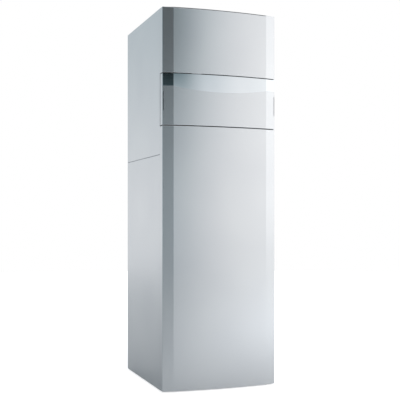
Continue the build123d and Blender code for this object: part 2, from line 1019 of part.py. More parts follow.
# Display module: the glass block in the window, on the board that also carries the key contacts
key_rest = fascia_back + seat_gap + key_flange_wall
key_board_front = key_rest + key_travel + key_rear_gap
with BuildPart() as display_panel:
    block(
        (-key_board_half, key_board_front, key_board_low),
        (key_board_half, key_board_front + board_wall, window_high + screen_margin),
    )
    block(
        (-window_half - screen_margin, fascia_back, window_low - screen_margin),
        (window_half + screen_margin, key_board_front, window_high + screen_margin),
    )
write_piece(display_panel, "display_panel")

# Keys: a round cap with a flange behind the fascia
for label, place in key_places.items():
    with BuildPart() as key:
        rod(
            (place * key_pitch, fascia_front - key_proud, key_row_height),
            BACK,
            key_radius,
            key_rest - fascia_front + key_proud,
        )
        chamfer(key.edges().group_by(Axis.Y)[0], key_proud / 3)
        rod((place * key_pitch, key_rest, key_row_height), FORWARD, key_flange_radius, key_flange_wall)
    write_piece(key, label)

# Pressure gauge: a round case with a bezel, a sunk dial and the pin that carries the needle
dial_y = fascia_front + gauge_dial_depth
with BuildPart() as gauge_body:
    rod((gauge_side, fascia_front, gauge_height), BACK, gauge_radius, gauge_depth)
    rod((gauge_side, fascia_front, gauge_height), FORWARD, gauge_bezel_radius, gauge_bezel_wall)
    fillet(gauge_body.edges().group_by(Axis.Y)[0], gauge_bezel_wall / 3)
    drill((gauge_side, dial_y, gauge_height), FORWARD, gauge_face_radius, gauge_dial_depth + overrun)
    rod((gauge_side, dial_y, gauge_height), FORWARD, needle_pin_radius, needle_pin_length)
    rod(
        (gauge_side, fascia_front + gauge_depth, gauge_height),
        BACK,
        gauge_stem_radius,
        gauge_stem_length,
    )
write_piece(gauge_body, "gauge_body")

# Gauge needle, pointing to the middle of the scale
needle_back = dial_y - needle_lift
with BuildPart() as gauge_needle:
    rod((gauge_side, needle_back, gauge_height), FORWARD, needle_hub_radius, needle_wall)
    with BuildSketch(Plane(origin=(gauge_side, needle_back, gauge_height), x_dir=RIGHT, z_dir=FORWARD)):
        with BuildLine():
            Polyline(
                (-needle_width, -needle_tail),
                (needle_width, -needle_tail),
                (needle_width / 4, needle_length),
                (-needle_width / 4, needle_length),
                close=True,
            )
        make_face()
    extrude(amount=needle_wall)
    drill(
        (gauge_side, needle_back + overrun, gauge_height),
        FORWARD,
        needle_pin_radius + running_fit,
        needle_wall + overrun + overrun,
    )
write_piece(gauge_needle, "gauge_needle")

# Hot water cylinder: a domed steel tank with four nozzles, an anode boss and a drain nozzle
nozzle_top = jacket_high + nozzle_rise
drain_y = tank_y - jacket_radius - drain_out
with BuildPart() as cylinder_tank:
    revolve(vessel_face(tank_radius, tank_low, tank_high, tank_dome), axis=tank_axis)
    for x, y in nozzle_places:
        rod((x, y, nozzle_top - nozzle_reach), UP, pipe_radius, nozzle_reach)
    rod((0, tank_y, tank_high - tank_wall), UP, anode_boss_radius, anode_boss_rise)
    rod(
        (0, tank_y - tank_radius + tank_wall, drain_height),
        FORWARD,
        drain_radius,
        tank_y - tank_radius + tank_wall - drain_y,
    )
    inner_radius = tank_radius - tank_wall
    revolve(
        vessel_face(inner_radius, tank_low + tank_wall, tank_high - tank_wall, tank_dome),
        axis=tank_axis,
        mode=Mode.SUBTRACT,
    )
    for x, y in nozzle_places:
        drill((x, y, nozzle_top - nozzle_reach), UP, pipe_radius - pipe_wall, nozzle_reach)
    drill((0, tank_y, tank_high - tank_dome), UP, anode_radius, tank_dome + overrun + overrun)
    drill((0, tank_y - inner_radius + overrun, drain_height), FORWARD, drain_bore, jacket_radius)
write_piece(cylinder_tank, "cylinder_tank")

# Insulation jacket, standing on the base frame
with BuildPart() as cylinder_jacket:
    rod((0, tank_y, floor_top), UP, jacket_radius, jacket_high - floor_top)
    chamfer(cylinder_jacket.edges().group_by(Axis.Z)[-1], jacket_chamfer)
    revolve(
        vessel_face(
            tank_radius + tank_clearance,
            tank_low - tank_clearance,
            tank_high + tank_clearance,
            tank_dome,
        ),
        axis=tank_axis,
        mode=Mode.SUBTRACT,
    )
    for x, y in nozzle_places:
        drill((x, y, tank_high - tank_dome), UP, pipe_radius + tank_clearance, jacket_high)
    drill((0, tank_y, tank_high - tank_dome), UP, anode_hole_radius, jacket_high)
    drill((0, tank_y, drain_height), FORWARD, drain_radius + tank_clearance, jacket_radius + overrun)
write_piece(cylinder_jacket, "cylinder_jacket")

# Protective anode, screwed into the boss on the tank
anode_top = tank_high - tank_wall + anode_boss_rise
with BuildPart() as anode_rod:
    rod((0, tank_y, anode_top), DOWN, anode_radius, anode_length)
    with BuildSketch(Plane.XY.offset(anode_top)):
        with Locations((0, tank_y)):
            RegularPolygon(anode_head_radius, 6)
    extrude(amount=anode_head)
write_piece(anode_rod, "anode_rod")

# Drain valve on the nozzle at the foot of the cylinder
valve_front = drain_y - valve_length
with BuildPart() as drain_valve:
    with BuildSketch(Plane(origin=(0, drain_y, drain_height), z_dir=FORWARD)):
        RegularPolygon(valve_radius, 6)
    extrude(amount=valve_length)
    spout_y = drain_y - valve_length / 2
    rod((0, spout_y, drain_height), DOWN, spout_radius, spout_length)
    drill(
        (0, drain_y + overrun, drain_height),
        FORWARD,
        drain_bore,
        valve_length / 2 + spout_wall + overrun,
    )
    drill((0, spout_y, drain_height), DOWN, spout_radius - spout_wall, spout_length + overrun)
    rod((0, valve_front, drain_height), FORWARD, lever_pin_radius, lever_pin_length)
    stop_y = valve_front - lever_pin_length
    rod((0, stop_y, drain_height), FORWARD, lever_stop_radius, lever_stop)
write_piece(drain_valve, "drain_valve")

# Lever of the drain valve, lying level when shut
lever_back = valve_front - seat_gap
lever_thick = lever_pin_length - seat_gap - seat_gap
with BuildPart() as drain_valve_handle:
    rod((0, lever_back, drain_height), FORWARD, lever_hub_radius, lever_thick)
    block(
        (0, lever_back - lever_thick, drain_height - lever_width / 2),
        (lever_length, lever_back - lever_thick + lever_wall, drain_height + lever_width / 2),
    )
    fillet(drain_valve_handle.edges().filter_by(Axis.Y).group_by(Axis.X)[-1], lever_width / 3)
    drill(
        (0, lever_back + overrun, drain_height),
        FORWARD,
        lever_pin_radius + running_fit,
        lever_thick + overrun + overrun,
    )
write_piece(drain_valve_handle, "drain_valve_handle")

# Heat exchanger: a level drum with a burner chamber, a flue outlet and two water ports
port_places = [burner_height - exchanger_port_lift, burner_height + exchanger_port_lift]
trap_top_open = sqrt(burner_radius**2 - trap_side**2)
with BuildPart() as heat_exchanger:
    rod((0, burner_front, burner_height), BACK, burner_radius, burner_length)
    fillet(heat_exchanger.edges().group_by(Axis.Y)[-1], burner_wall / 2)
    for level in port_places:
        rod(
            (exchanger_port_side, burner_back - burner_wall, level),
            BACK,
            pipe_radius,
            burner_wall + exchanger_port_length,
        )
    rod(
        (trap_side, trap_y, trap_high),
        UP,
        trap_spout_radius,
        burner_height - trap_top_open + burner_wall - trap_high,
    )
    drill(
        (0, burner_front - overrun, burner_height),
        BACK,
        burner_radius - burner_wall,
        burner_length - burner_wall + overrun,
    )
    drill(
        (0, burner_back - burner_wall - overrun, burner_height),
        BACK,
        flue_radius - flue_stop_wall,
        burner_wall + 2 * overrun,
    )
    for level in port_places:
        drill(
            (exchanger_port_side, burner_back + exchanger_port_length, level),
            FORWARD,
            pipe_radius - pipe_wall,
            exchanger_port_length + burner_wall / 2,
        )
    drill(
        (trap_side, trap_y, trap_high),
        UP,
        trap_spout_radius - trap_spout_wall,
        burner_height - trap_high,
    )
write_piece(heat_exchanger, "heat_exchanger")

# Burner door, with the port that takes the gas and air mixture from the fan
duct_half_width = fan_half - fan_wall
with BuildPart() as burner_door:
    rod((0, door_front, burner_height), BACK, burner_radius, door_wall)
    drill(
        (0, door_front - overrun, burner_height),
        BACK,
        fan_duct_half - fan_wall,
        door_wall + 2 * overrun,
    )
    with BuildSketch(Plane(origin=(0, door_front, burner_height), z_dir=FORWARD)):
        with PolarLocations(door_radius, 6):
            RegularPolygon(screw_head_radius, 6)
    extrude(amount=screw_head)
write_piece(burner_door, "burner_door")

# Burner tube, closed at its far end, held by its flange in the mouth of the chamber
with BuildPart() as burner_tube:
    rod((0, burner_front, burner_height), BACK, burner_tube_radius, burner_tube_length)
    rod((0, burner_front, burner_height), BACK, burner_tube_flange, burner_tube_wall)
    drill(
        (0, burner_front - overrun, burner_height),
        BACK,
        burner_tube_radius - burner_tube_wall,
        burner_tube_length - burner_tube_wall + overrun,
    )
write_piece(burner_tube, "burner_tube")

# Fan housing: a drum on its side with a duct to the burner door and an inlet on the left
duct_low = burner_height - fan_duct_half
with BuildPart() as fan_housing:
    rod((-fan_half, fan_y, fan_height), RIGHT, fan_radius, 2 * fan_half)
    block((-fan_half, fan_y, duct_low), (fan_half, door_front, burner_height + fan_duct_half))
    rod((-fan_half, fan_y, fan_height), LEFT, fan_inlet_radius, fan_inlet_length)
    drill((-duct_half_width, fan_y, fan_height), RIGHT, fan_radius - fan_wall, 2 * duct_half_width)
    block(
        (-duct_half_width, fan_y, duct_low + fan_wall),
        (duct_half_width, door_front + overrun, burner_height + fan_duct_half - fan_wall),
        Mode.SUBTRACT,
    )
    drill(
        (-fan_half - fan_inlet_length - overrun, fan_y, fan_height),
        RIGHT,
        fan_inlet_radius - fan_inlet_wall,
        fan_inlet_length + fan_wall + 2 * overrun,
    )
    drill((0, fan_y, fan_height), RIGHT, fan_shaft_radius + fan_wall, fan_half + overrun)
write_piece(fan_housing, "fan_housing")

# Fan motor on the right of the housing
with BuildPart() as fan_motor:
    rod((fan_half, fan_y, fan_height), RIGHT, motor_radius, motor_length)
    rod((fan_half + motor_length, fan_y, fan_height), RIGHT, motor_cap_radius, motor_cap)
    fillet(fan_motor.edges().group_by(Axis.X)[-1], motor_cap / 3)
    drill(
        (fan_half - overrun, fan_y, fan_height),
        RIGHT,
        fan_shaft_radius + running_fit,
        motor_length + overrun,
    )
write_piece(fan_motor, "fan_motor")

# Fan impeller: a disc with upright blades and the shaft that runs in the motor
with BuildPart() as fan_impeller:
    rod((impeller_half - impeller_disc, fan_y, fan_height), RIGHT, impeller_radius, impeller_disc)
    rod((-impeller_half, fan_y, fan_height), RIGHT, impeller_hub, 2 * impeller_half)
    rod((impeller_half, fan_y, fan_height), RIGHT, fan_shaft_radius, fan_shaft_length - impeller_half)
    blade_length = impeller_radius - blade_inner
    with BuildSketch(Plane(origin=(impeller_half - impeller_disc, fan_y, fan_height), z_dir=LEFT)):
        with PolarLocations(blade_inner + blade_length / 2, blade_count):
            Rectangle(blade_length, blade_wall)
    extrude(amount=2 * impeller_half - impeller_disc)
write_piece(fan_impeller, "fan_impeller")

# Gas valve with its solenoid cap, and the mixing ring that feeds the fan
gas_port_y = (gas_valve_front + gas_valve_rear) / 2
gas_port_z = (gas_valve_low + gas_valve_high) / 2
mixer_right = -fan_half - fan_inlet_length
with BuildPart() as gas_valve:
    block(
        (gas_valve_left, gas_valve_front, gas_valve_low),
        (gas_valve_right, gas_valve_rear, gas_valve_high),
    )
    fillet(gas_valve.edges().filter_by(Axis.Z), mixer_wall)
    rod(
        (gas_valve_right - mixer_wall, fan_y, fan_height),
        RIGHT,
        fan_inlet_radius,
        mixer_right - gas_valve_right + mixer_wall,
    )
    drill(
        (mixer_right, fan_y, fan_height),
        LEFT,
        fan_inlet_radius - fan_inlet_wall,
        mixer_right - gas_valve_right,
    )
    rod(
        ((gas_valve_left + gas_valve_right) / 2, gas_port_y, gas_valve_high),
        UP,
        coil_cap_radius,
        coil_cap,
    )
    drill(
        (gas_valve_left - overrun, gas_port_y, gas_port_z),
        RIGHT,
        gas_pipe_radius - pipe_wall,
        2 * overrun,
    )
write_piece(gas_valve, "gas_valve")

# Flue pipe: an elbow behind the heat exchanger and a riser with a socket at the top
with BuildPart() as flue_pipe:
    flue_route = [(0, burner_back, burner_height), (0, flue_y, burner_height), (0, flue_y, flue_top)]
    bent_bar(flue_route, flue_radius, flue_bend)
    bent_bar(flue_route, flue_radius - flue_stop_wall, flue_bend, Mode.SUBTRACT)
    drill((0, flue_y, flue_top), DOWN, flue_radius - flue_wall, flue_socket)
write_piece(flue_pipe, "flue_pipe")

# Air collar round the flue, on the top cover
with BuildPart() as air_collar:
    ring((0, flue_y, height), UP, collar_radius, collar_radius - collar_wall, flue_rise)
    ring((0, flue_y, height), UP, collar_flange_radius, collar_radius - collar_wall, collar_flange)
write_piece(air_collar, "air_collar")

# Condensate trap under the heat exchanger, with its drain hose down to the base
with BuildPart() as condensate_trap:
    hose_route = [
        (trap_side, trap_y, trap_outlet_height),
        (hose_side, trap_y, trap_outlet_height),
        (hose_side, hose_y, trap_outlet_height),
        (hose_side, hose_y, hose_low),
    ]
    rod((trap_side, trap_y, trap_low), UP, trap_radius, trap_high - trap_low)
    bent_bar(hose_route, hose_radius, hose_bend)
    bent_bar(hose_route, hose_radius - hose_wall, hose_bend, Mode.SUBTRACT)
    drill(
        (trap_side, trap_y, trap_low + trap_wall),
        UP,
        trap_radius - trap_wall,
        trap_high - trap_low - trap_wall - trap_wall,
    )
    drill(
        (trap_side, trap_y, trap_high + overrun),
        DOWN,
        trap_spout_radius - trap_spout_wall,
        2 * overrun,
    )
write_piece(condensate_trap, "condensate_trap")


def pump_body(x):
    """Pump casing with two ports and a motor can, in the piece being built"""
    rod((x, pump_y - pump_half, pump_height), BACK, pump_radius, 2 * pump_half)
    rod((x, pump_y - pump_half, pump_height), FORWARD, pump_motor_radius, pump_motor_length)
    rod((x, pump_y, pump_height - pump_port_reach), UP, pump_port_radius, 2 * pump_port_reach)
    drill((x, pump_y - pump_cavity_half, pump_height), BACK, pump_cavity_radius, 2 * pump_cavity_half)
    drill((x, pump_y, pump_height - pump_port_reach), UP, pipe_radius - pipe_wall, 2 * pump_port_reach)
    drill(
        (x, pump_y, pump_height),
        FORWARD,
        pump_shaft_radius + running_fit,
        pump_cavity_half + pump_shaft_length,
    )


def pump_wheel(x):
    """Pump impeller on its shaft, in the piece being built"""
    disc_y = pump_y + pump_wheel_half - pump_wheel_disc
    rod((x, disc_y, pump_height), BACK, pump_wheel_radius, pump_wheel_disc)
    rod((x, disc_y, pump_height), FORWARD, pump_hub_radius, 2 * pump_wheel_half - pump_wheel_disc)
    rod((x, pump_y, pump_height), FORWARD, pump_shaft_radius, pump_shaft_length)
    vane_length = pump_wheel_radius - pump_hub_radius / 2
    with BuildSketch(Plane(origin=(x, disc_y, pump_height), z_dir=FORWARD)) as vanes:
        with PolarLocations(pump_wheel_radius - vane_length / 2, pump_vane_count):
            Rectangle(vane_length, pump_vane_wall)
    extrude(vanes.sketch, amount=2 * pump_wheel_half - pump_wheel_disc)


# Two pumps: one for the heating circuit, one that charges the cylinder
for label, wheel_label, x in (
    ("heating_pump", "heating_pump_wheel", heating_pump_side),
    ("charge_pump", "charge_pump_wheel", charge_pump_side),
):
    with BuildPart() as pump:
        pump_body(x)
    write_piece(pump, label)
    with BuildPart() as wheel:
        pump_wheel(x)
    write_piece(wheel, wheel_label)

# Diverter valve: three ports and a motor head
with BuildPart() as diverter_valve:
    rod(
        (diverter_side, pump_y, pump_height - pump_port_reach),
        UP,
        pump_port_radius,
        2 * pump_port_reach,
    )
    rod(
        (diverter_side, pump_y + diverter_radius, pump_height),
        FORWARD,
        diverter_radius,
        2 * diverter_radius,
    )
    rod(
        (diverter_side, pump_y - diverter_radius, pump_height),
        FORWARD,
        diverter_motor_radius,
        diverter_motor_length,
    )
    rod((diverter_side, pump_y, pump_height), LEFT, pump_port_radius, 2 * pump_port_radius)
    drill(
        (diverter_side, pump_y, pump_height - pump_port_reach),
        UP,
        pipe_radius - pipe_wall,
        2 * pump_port_reach,
    )
    drill((diverter_side, pump_y, pump_height), LEFT, pipe_radius - pipe_wall, 2 * pump_port_radius)
write_piece(diverter_valve, "diverter_valve")

# Plate heat exchanger: a pressed pack with a groove round every plate
with BuildPart() as plate_heat_exchanger:
    block((plates_left, plates_front, shelf_top), (plates_right, plates_rear, plates_high))
    plate_count = int((plates_rear - plates_front) / plate_pitch)
    for index in range(1, plate_count):
        groove_y = plates_front + index * plate_pitch
        block(
            (plates_left - overrun, groove_y, shelf_top),
            (plates_left + plate_groove_depth, groove_y + plate_groove, plates_high + overrun),
            Mode.SUBTRACT,
        )
write_piece(plate_heat_exchanger, "plate_heat_exchanger")

# Expansion vessel: a flat round can against the rear panel
with BuildPart() as expansion_vessel:
    rod((0, vessel_rear, vessel_height), FORWARD, vessel_radius, vessel_rear - vessel_front)
    fillet(expansion_vessel.edges().filter_by(GeomType.CIRCLE), vessel_round)
    offset(amount=-vessel_wall, mode=Mode.SUBTRACT)
    rod((vessel_port_side, connection_y, vessel_port_low), UP, branch_radius, vessel_port_length)
    drill(
        (vessel_port_side, connection_y, vessel_port_low),
        UP,
        branch_radius - pipe_wall,
        vessel_port_length,
    )
write_piece(expansion_vessel, "expansion_vessel")

# Pressure relief valve with a side outlet and the stem that carries its knob
with BuildPart() as relief_valve:
    rod((relief_side, relief_y, relief_low), UP, relief_radius, relief_high - relief_low)
    rod(
        (relief_side, relief_y, relief_outlet_height),
        FORWARD,
        relief_outlet_radius,
        relief_outlet_reach,
    )
    drill(
        (relief_side, relief_y - relief_radius + pipe_wall, relief_outlet_height),
        FORWARD,
        relief_outlet_radius - spout_wall,
        relief_outlet_reach,
    )
    rod((relief_side, relief_y, relief_high), UP, knob_pin_radius, knob_pin_length)
write_piece(relief_valve, "relief_valve")

# Relief valve knob
knob_low = relief_high + seat_gap
with BuildPart() as relief_valve_knob:
    rod((relief_side, relief_y, knob_low), UP, knob_radius, knob_height)
    fillet(relief_valve_knob.edges().group_by(Axis.Z)[-1], knob_groove_radius / 2)
    with BuildSketch(Plane(origin=(relief_side, relief_y, knob_low), z_dir=UP)):
        with PolarLocations(knob_radius, knob_groove_count):
            Circle(knob_groove_radius)
    extrude(amount=knob_height, mode=Mode.SUBTRACT)
    drill(
        (relief_side, relief_y, knob_low - overrun),
        UP,
        knob_pin_radius + running_fit,
        knob_pin_length + overrun + seat_gap,
    )
write_piece(relief_valve_knob, "relief_valve_knob")

# Heating pipes: flow and return, with the branches to the plates, the vessel and the relief valve
pump_high = pump_height + pump_port_reach
flow_port = burner_height + exchanger_port_lift
return_port = burner_height - exchanger_port_lift
port_end = burner_back + exchanger_port_length
heating_routes = [
    [
        (return_x, connection_y, connector_low),
        (return_x, connection_y, low_run),
        (0, connection_y, low_run),
        (0, pump_y, low_run),
        (0, pump_y, pump_low),
    ],
    [
        (0, pump_y, pump_high),
        (0, pump_y, rise_run),
        (0, rise_y, rise_run),
        (exchanger_port_side, rise_y, rise_run),
        (exchanger_port_side, rise_y, return_port),
        (exchanger_port_side, port_end, return_port),
    ],
    [
        (exchanger_port_side, port_end, flow_port),
        (exchanger_port_side, flow_y, flow_port),
        (diverter_side, flow_y, flow_port),
        (diverter_side, flow_y, flow_run),
        (diverter_side, pump_y, flow_run),
        (diverter_side, pump_y, pump_high),
    ],
    [
        (diverter_side, pump_y, pump_low),
        (diverter_side, pump_y, low_run),
        (diverter_side, flow_turn_y, low_run),
        (flow_x, flow_turn_y, low_run),
        (flow_x, connection_y, low_run),
        (flow_x, connection_y, connector_low),
    ],
    [(diverter_side - 2 * pump_port_radius, pump_y, pump_height), (plates_right, pump_y, pump_height)],
]
heating_branches = [
    [
        (plates_right, return_branch_y, return_branch_height),
        (return_branch_side, return_branch_y, return_branch_height),
        (return_branch_side, return_branch_y, low_run),
        (0, return_branch_y, low_run),
    ],
    [(vessel_port_side, connection_y, vessel_port_low), (vessel_port_side, connection_y, low_run)],
    [(0, relief_y, low_run), (relief_side, relief_y, low_run), (relief_side, relief_y, relief_low)],
]
with BuildPart() as heating_pipes:
    pipework(heating_routes, pipe_radius, heating_branches)
    connector(flow_x, pipe_radius)
    connector(return_x, pipe_radius)
write_piece(heating_pipes, "heating_pipes")

# Water pipes: cold in, hot out, and the charging loop through the plates
front_nozzle_y = tank_y - nozzle_offset
rear_nozzle_y = tank_y + nozzle_offset
water_routes = [
    [
        (nozzle_offset, front_nozzle_y, nozzle_top),
        (nozzle_offset, front_nozzle_y, low_run),
        (charge_pump_side, front_nozzle_y, low_run),
        (charge_pump_side, pump_y, low_run),
        (charge_pump_side, pump_y, pump_low),
    ],
    [
        (charge_pump_side, pump_y, pump_high),
        (charge_pump_side, pump_y, charge_high_run),
        (charge_pump_side, charge_run_y, charge_high_run),
        (charge_in_side, charge_run_y, charge_high_run),
        (charge_in_side, charge_run_y, charge_in_height),
        (charge_in_side, plates_rear, charge_in_height),
    ],
    [
        (charge_out_side, plates_rear, charge_out_height),
        (charge_out_side, front_nozzle_y, charge_out_height),
        (-nozzle_offset, front_nozzle_y, charge_out_height),
        (-nozzle_offset, front_nozzle_y, nozzle_top),
    ],
    [
        (nozzle_offset, rear_nozzle_y, nozzle_top),
        (nozzle_offset, rear_nozzle_y, hot_run),
        (hot_x, rear_nozzle_y, hot_run),
        (hot_x, connection_y, hot_run),
        (hot_x, connection_y, connector_low),
    ],
    [
        (cold_x, connection_y, connector_low),
        (cold_x, connection_y, cold_run),
        (cold_x, cold_run_y, cold_run),
        (-nozzle_offset, cold_run_y, cold_run),
        (-nozzle_offset, rear_nozzle_y, cold_run),
        (-nozzle_offset, rear_nozzle_y, nozzle_top),
    ],
]
with BuildPart() as water_pipes:
    pipework(water_routes, pipe_radius)
    connector(cold_x, pipe_radius)
    connector(hot_x, pipe_radius)
write_piece(water_pipes, "water_pipes")

# Gas pipe from the top to the gas valve
with BuildPart() as gas_pipe:
    gas_route = [
        (gas_valve_left, gas_port_y, gas_port_z),
        (gas_x, gas_port_y, gas_port_z),
        (gas_x, connection_y, gas_port_z),
        (gas_x, connection_y, connector_low),
    ]
    pipework([gas_route], gas_pipe_radius)
    connector(gas_x, gas_pipe_radius)
write_piece(gas_pipe, "gas_pipe")

# Grommets round the pipes in the top cover, and the gland of the mains lead
with BuildPart() as pipe_grommets:
    for x, radius in stub_radii.items():
        ring((x, connection_y, cover_low), UP, grommet_radius, radius, sheet)
        ring((x, connection_y, height), UP, grommet_flange_radius, radius, grommet_flange / 3)
    ring((gland_side, connection_y, cover_low), UP, gland_radius, gland_bore, sheet + gland_rise)
    ring((gland_side, connection_y, height), UP, grommet_radius, gland_bore, grommet_flange)
write_piece(pipe_grommets, "pipe_grommets")
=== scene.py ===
import json
import math

import bmesh
import bpy
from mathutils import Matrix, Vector

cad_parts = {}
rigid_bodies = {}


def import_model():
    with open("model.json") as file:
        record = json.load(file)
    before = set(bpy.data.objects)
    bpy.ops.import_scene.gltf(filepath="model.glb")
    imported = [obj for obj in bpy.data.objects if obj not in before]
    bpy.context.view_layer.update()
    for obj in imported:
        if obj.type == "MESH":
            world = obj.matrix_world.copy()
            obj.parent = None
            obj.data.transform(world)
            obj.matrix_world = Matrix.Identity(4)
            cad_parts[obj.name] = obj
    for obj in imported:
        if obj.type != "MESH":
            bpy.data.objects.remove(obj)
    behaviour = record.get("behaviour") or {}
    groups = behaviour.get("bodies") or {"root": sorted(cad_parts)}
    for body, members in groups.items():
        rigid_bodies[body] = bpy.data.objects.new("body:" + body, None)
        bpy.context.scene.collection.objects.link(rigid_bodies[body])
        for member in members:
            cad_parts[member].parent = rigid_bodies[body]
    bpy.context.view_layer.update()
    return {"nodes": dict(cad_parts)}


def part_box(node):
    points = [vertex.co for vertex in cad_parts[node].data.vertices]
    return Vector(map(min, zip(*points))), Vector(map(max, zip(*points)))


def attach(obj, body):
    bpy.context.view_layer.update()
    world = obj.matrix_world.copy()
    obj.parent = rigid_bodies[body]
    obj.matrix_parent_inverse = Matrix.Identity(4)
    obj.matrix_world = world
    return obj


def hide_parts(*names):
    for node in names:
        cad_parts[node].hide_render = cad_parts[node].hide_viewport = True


for leftover in list(bpy.data.objects):
    bpy.data.objects.remove(leftover)

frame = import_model()

MM = 0.001
ACROSS = (1, 0, 0)
BACKWARD = (0, 1, 0)
FORWARD = (0, -1, 0)
UP = (0, 0, 1)
DOWN = (0, 0, -1)

# Camera, as the photograph was taken
IMAGE_SIDE = 400
FOCAL_PIXELS = 810.0
CENTRE_X = 205.46
CENTRE_Y = 219.2
SENSOR_WIDTH = 36.0
CAMERA_PLACE = (-1.4536, -4.0874, 0.8456)
CAMERA_LEVEL = 90
CAMERA_TURN = -20.07

# Surfaces: sockets of a colour mix, detail and roughness of each noise, and how deep the reliefs are
WHITE = (1, 1, 1, 1)
MIX_SOCKETS = (6, 7)
MIX_RESULT = 2
FINE_NOISE = (3.0, 0.6)
BROAD_NOISE = (2.0, 0.5)
SMEAR_NOISE = (4.0, 0.6)
CLOUD_SIZE = 3.0
CLOUD_ROUGHNESS = 0.55
NOISE_START = 0.3
NOISE_END = 0.7
PATTERN_DARK_SHARE = 0.6
GRAIN_DARK_SHARE = 0.78
GLOW_DARK_SHARE = 0.8
COAT_ROUGHNESS = 0.12
PAINT_RELIEF = 0.05 * MM
FOAM_RELIEF = 0.6 * MM
IRON_RELIEF = 0.3 * MM
CAST_RELIEF = 0.25 * MM
VALVE_RELIEF = 0.2 * MM
GLASS_INDEX = 1.45
SMEAR_SIZE = 24
SMEAR_ROUGHNESS = (0.02, 0.09)
SMEAR_STRENGTH = 0.05
SMEAR_RELIEF = 0.02 * MM
GLOW_SIZE = 900
GLOW_ROUGHNESS = (0.3, 0.4)
GLOW_STRENGTH = 0.6

# Meshes: how near points merge, smoothing angles in degrees, and steps of arcs and bevels
MERGE_REACH = 0.0005 * MM
SMOOTH_ANGLE = 30
BAND_SMOOTH_ANGLE = 40
FLAT_WEIGHT = 100
BEVEL_STEPS = 2
BEVEL_PROFILE_SHARE = 0.7
CORNER_STEPS = 8
CREASE_STEPS = 4
QUARTER_STEPS = 4
BAND_STEPS = 8
SLOT_STEPS = 9
TURNED_STEPS = 40

# Casing, from the frame and the proportions of the solids
half_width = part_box("control_flap")[1].x
front_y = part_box("control_flap")[0].y
return_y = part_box("control_flap")[1].y
flap_low, flap_high = (corner.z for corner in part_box("control_flap"))
band_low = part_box("flap_trim_band")[0].z
BOW_RISE = 28 * MM
STRIP_WIDTH = 53 * MM
STRIP_RISE = 13 * MM
CORNER_ROUND = 4 * MM
CREASE_ROUND = 3 * MM
CROWN_DROP = 4 * MM
SHEET = 1.2 * MM
EDGE_ROUND = 1.6 * MM
HEM = 3.4 * MM
FLANGE_DEPTH = 22 * MM
FLANGE_HALF = 240 * MM
BOW_STEPS = 40
corner_y = front_y + BOW_RISE
crease_y = corner_y - STRIP_RISE
crease_x = half_width - STRIP_WIDTH
bow_radius = (crease_x**2 + (crease_y - front_y) ** 2) / (2 * (crease_y - front_y))
bow_centre = front_y + bow_radius

# Flap and its trim band
FLAP_WALL = 2.5 * MM
FLAP_SETBACK = 5.5 * MM
FLAP_BOSS_RADIUS = 7 * MM
FLAP_BOSS_BORE = 3.1 * MM
FLAP_BOSS_HEIGHT = 16 * MM
FLAP_HINGE_INSET = 8 * MM
MAGNET_RISES = (47 * MM, 195 * MM)
MAGNET_INNER = 273 * MM
MAGNET_PAD = 5 * MM
MAGNET_HALF = 12 * MM
BAND_WALL = 1.2 * MM
BAND_END = 61 * MM
BAND_GAP = 1.4 * MM
BAND_END_GAP = 0.6 * MM
BAND_ROUND = 0.15 * MM
BAND_CROWN = 0.25 * MM
BAND_STEP = 0.4 * MM
SLOT_WIDTH = 3.2 * MM
SLOT_SINK = 4 * MM
SLOT_REACH = 40 * MM
band_drop = flap_high - band_low - BAND_END
band_radius = (crease_x**2 + band_drop**2) / (2 * band_drop)

# Sizes of the control panel
WINDOW_HALF = 60 * MM
WINDOW_HEIGHT = 70 * MM
SCREEN_MARGIN = 4 * MM
SCREEN_BORDER = 3 * MM
BORDER_RISE = 0.8 * MM
DIGIT_SHARE = 0.44
LEVEL_BARS = 8
LENS_GAP = 0.2 * MM
LENS_SINK = 0.6 * MM
LENS_WALL = 1.0 * MM
MARK_DEPTH = 0.12 * MM
DOT_SHARE = 0.9
KEY_RADIUS = 7 * MM
KEY_FLANGE_RADIUS = 8.6 * MM
KEY_FLANGE = 2 * MM
KEY_DISH = 0.5 * MM
DIAL_RADIUS = 27 * MM
DIAL_TICKS = 20
TICKS_PER_NUMBER = 5
DIAL_START = 225
DIAL_END = -45
GREEN_ARC = (90, 157.5)
RED_ARC = (-45, 22.5)
NEEDLE_LIFT = 0.8 * MM
HUB_RADIUS = 4 * MM
HUB_RISE = 0.8 * MM
ROCKER_TILT = 7
ROCKER_DISH = 2.5 * MM
ROCKER_PROUD = 3 * MM
ROCKER_HALF = 14.6 * MM
ROCKER_MARK = 2.6 * MM
PANEL_SCREW = 3.4 * MM
PANEL_SCREW_INSET = 11 * MM
fascia_low, fascia_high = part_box("control_fascia")
fascia_front = fascia_low.y

# Sizes inside the casing and on its top
PUMP_HALF = 22 * MM
DIVERTER_X = -125 * MM
UNION_GAP = 2 * MM
UNION_RADIUS = 20 * MM
UNION_HEIGHT = 14 * MM
MOTOR_RADIUS = 36 * MM
EXCHANGER_HOOPS = 6
HOOP_RISE = 2.5 * MM
HOOP_WIDTH = 5 * MM
FAN_MOTOR_HOOPS = 5
SCREW_RISE = 2.4 * MM
ELECTRODE_RADIUS = 5 * MM
GAS_VALVE_WIDTH = 71 * MM
STRAP_RISE = 1.2 * MM
STRAP_WIDTH = 22 * MM
SEAM_RISE = 2.2 * MM
CONNECTION_Y = 300 * MM
CONNECTION_INNER = 170 * MM
CONNECTION_PITCH = 40 * MM
CONNECTOR_RADIUS = 13.2 * MM
THREAD_RISE = 0.6 * MM
THREAD_LENGTH = 14 * MM
THREAD_COUNT = 8
FLUE_RADIUS = 32.3 * MM
FLUE_BORE = 30.3 * MM
SEAL_SINK = 5 * MM
SEAL_WIDTH = 2.5 * MM
COLLAR_FLANGE = 2.5 * MM
LIP_REACH = 6 * MM

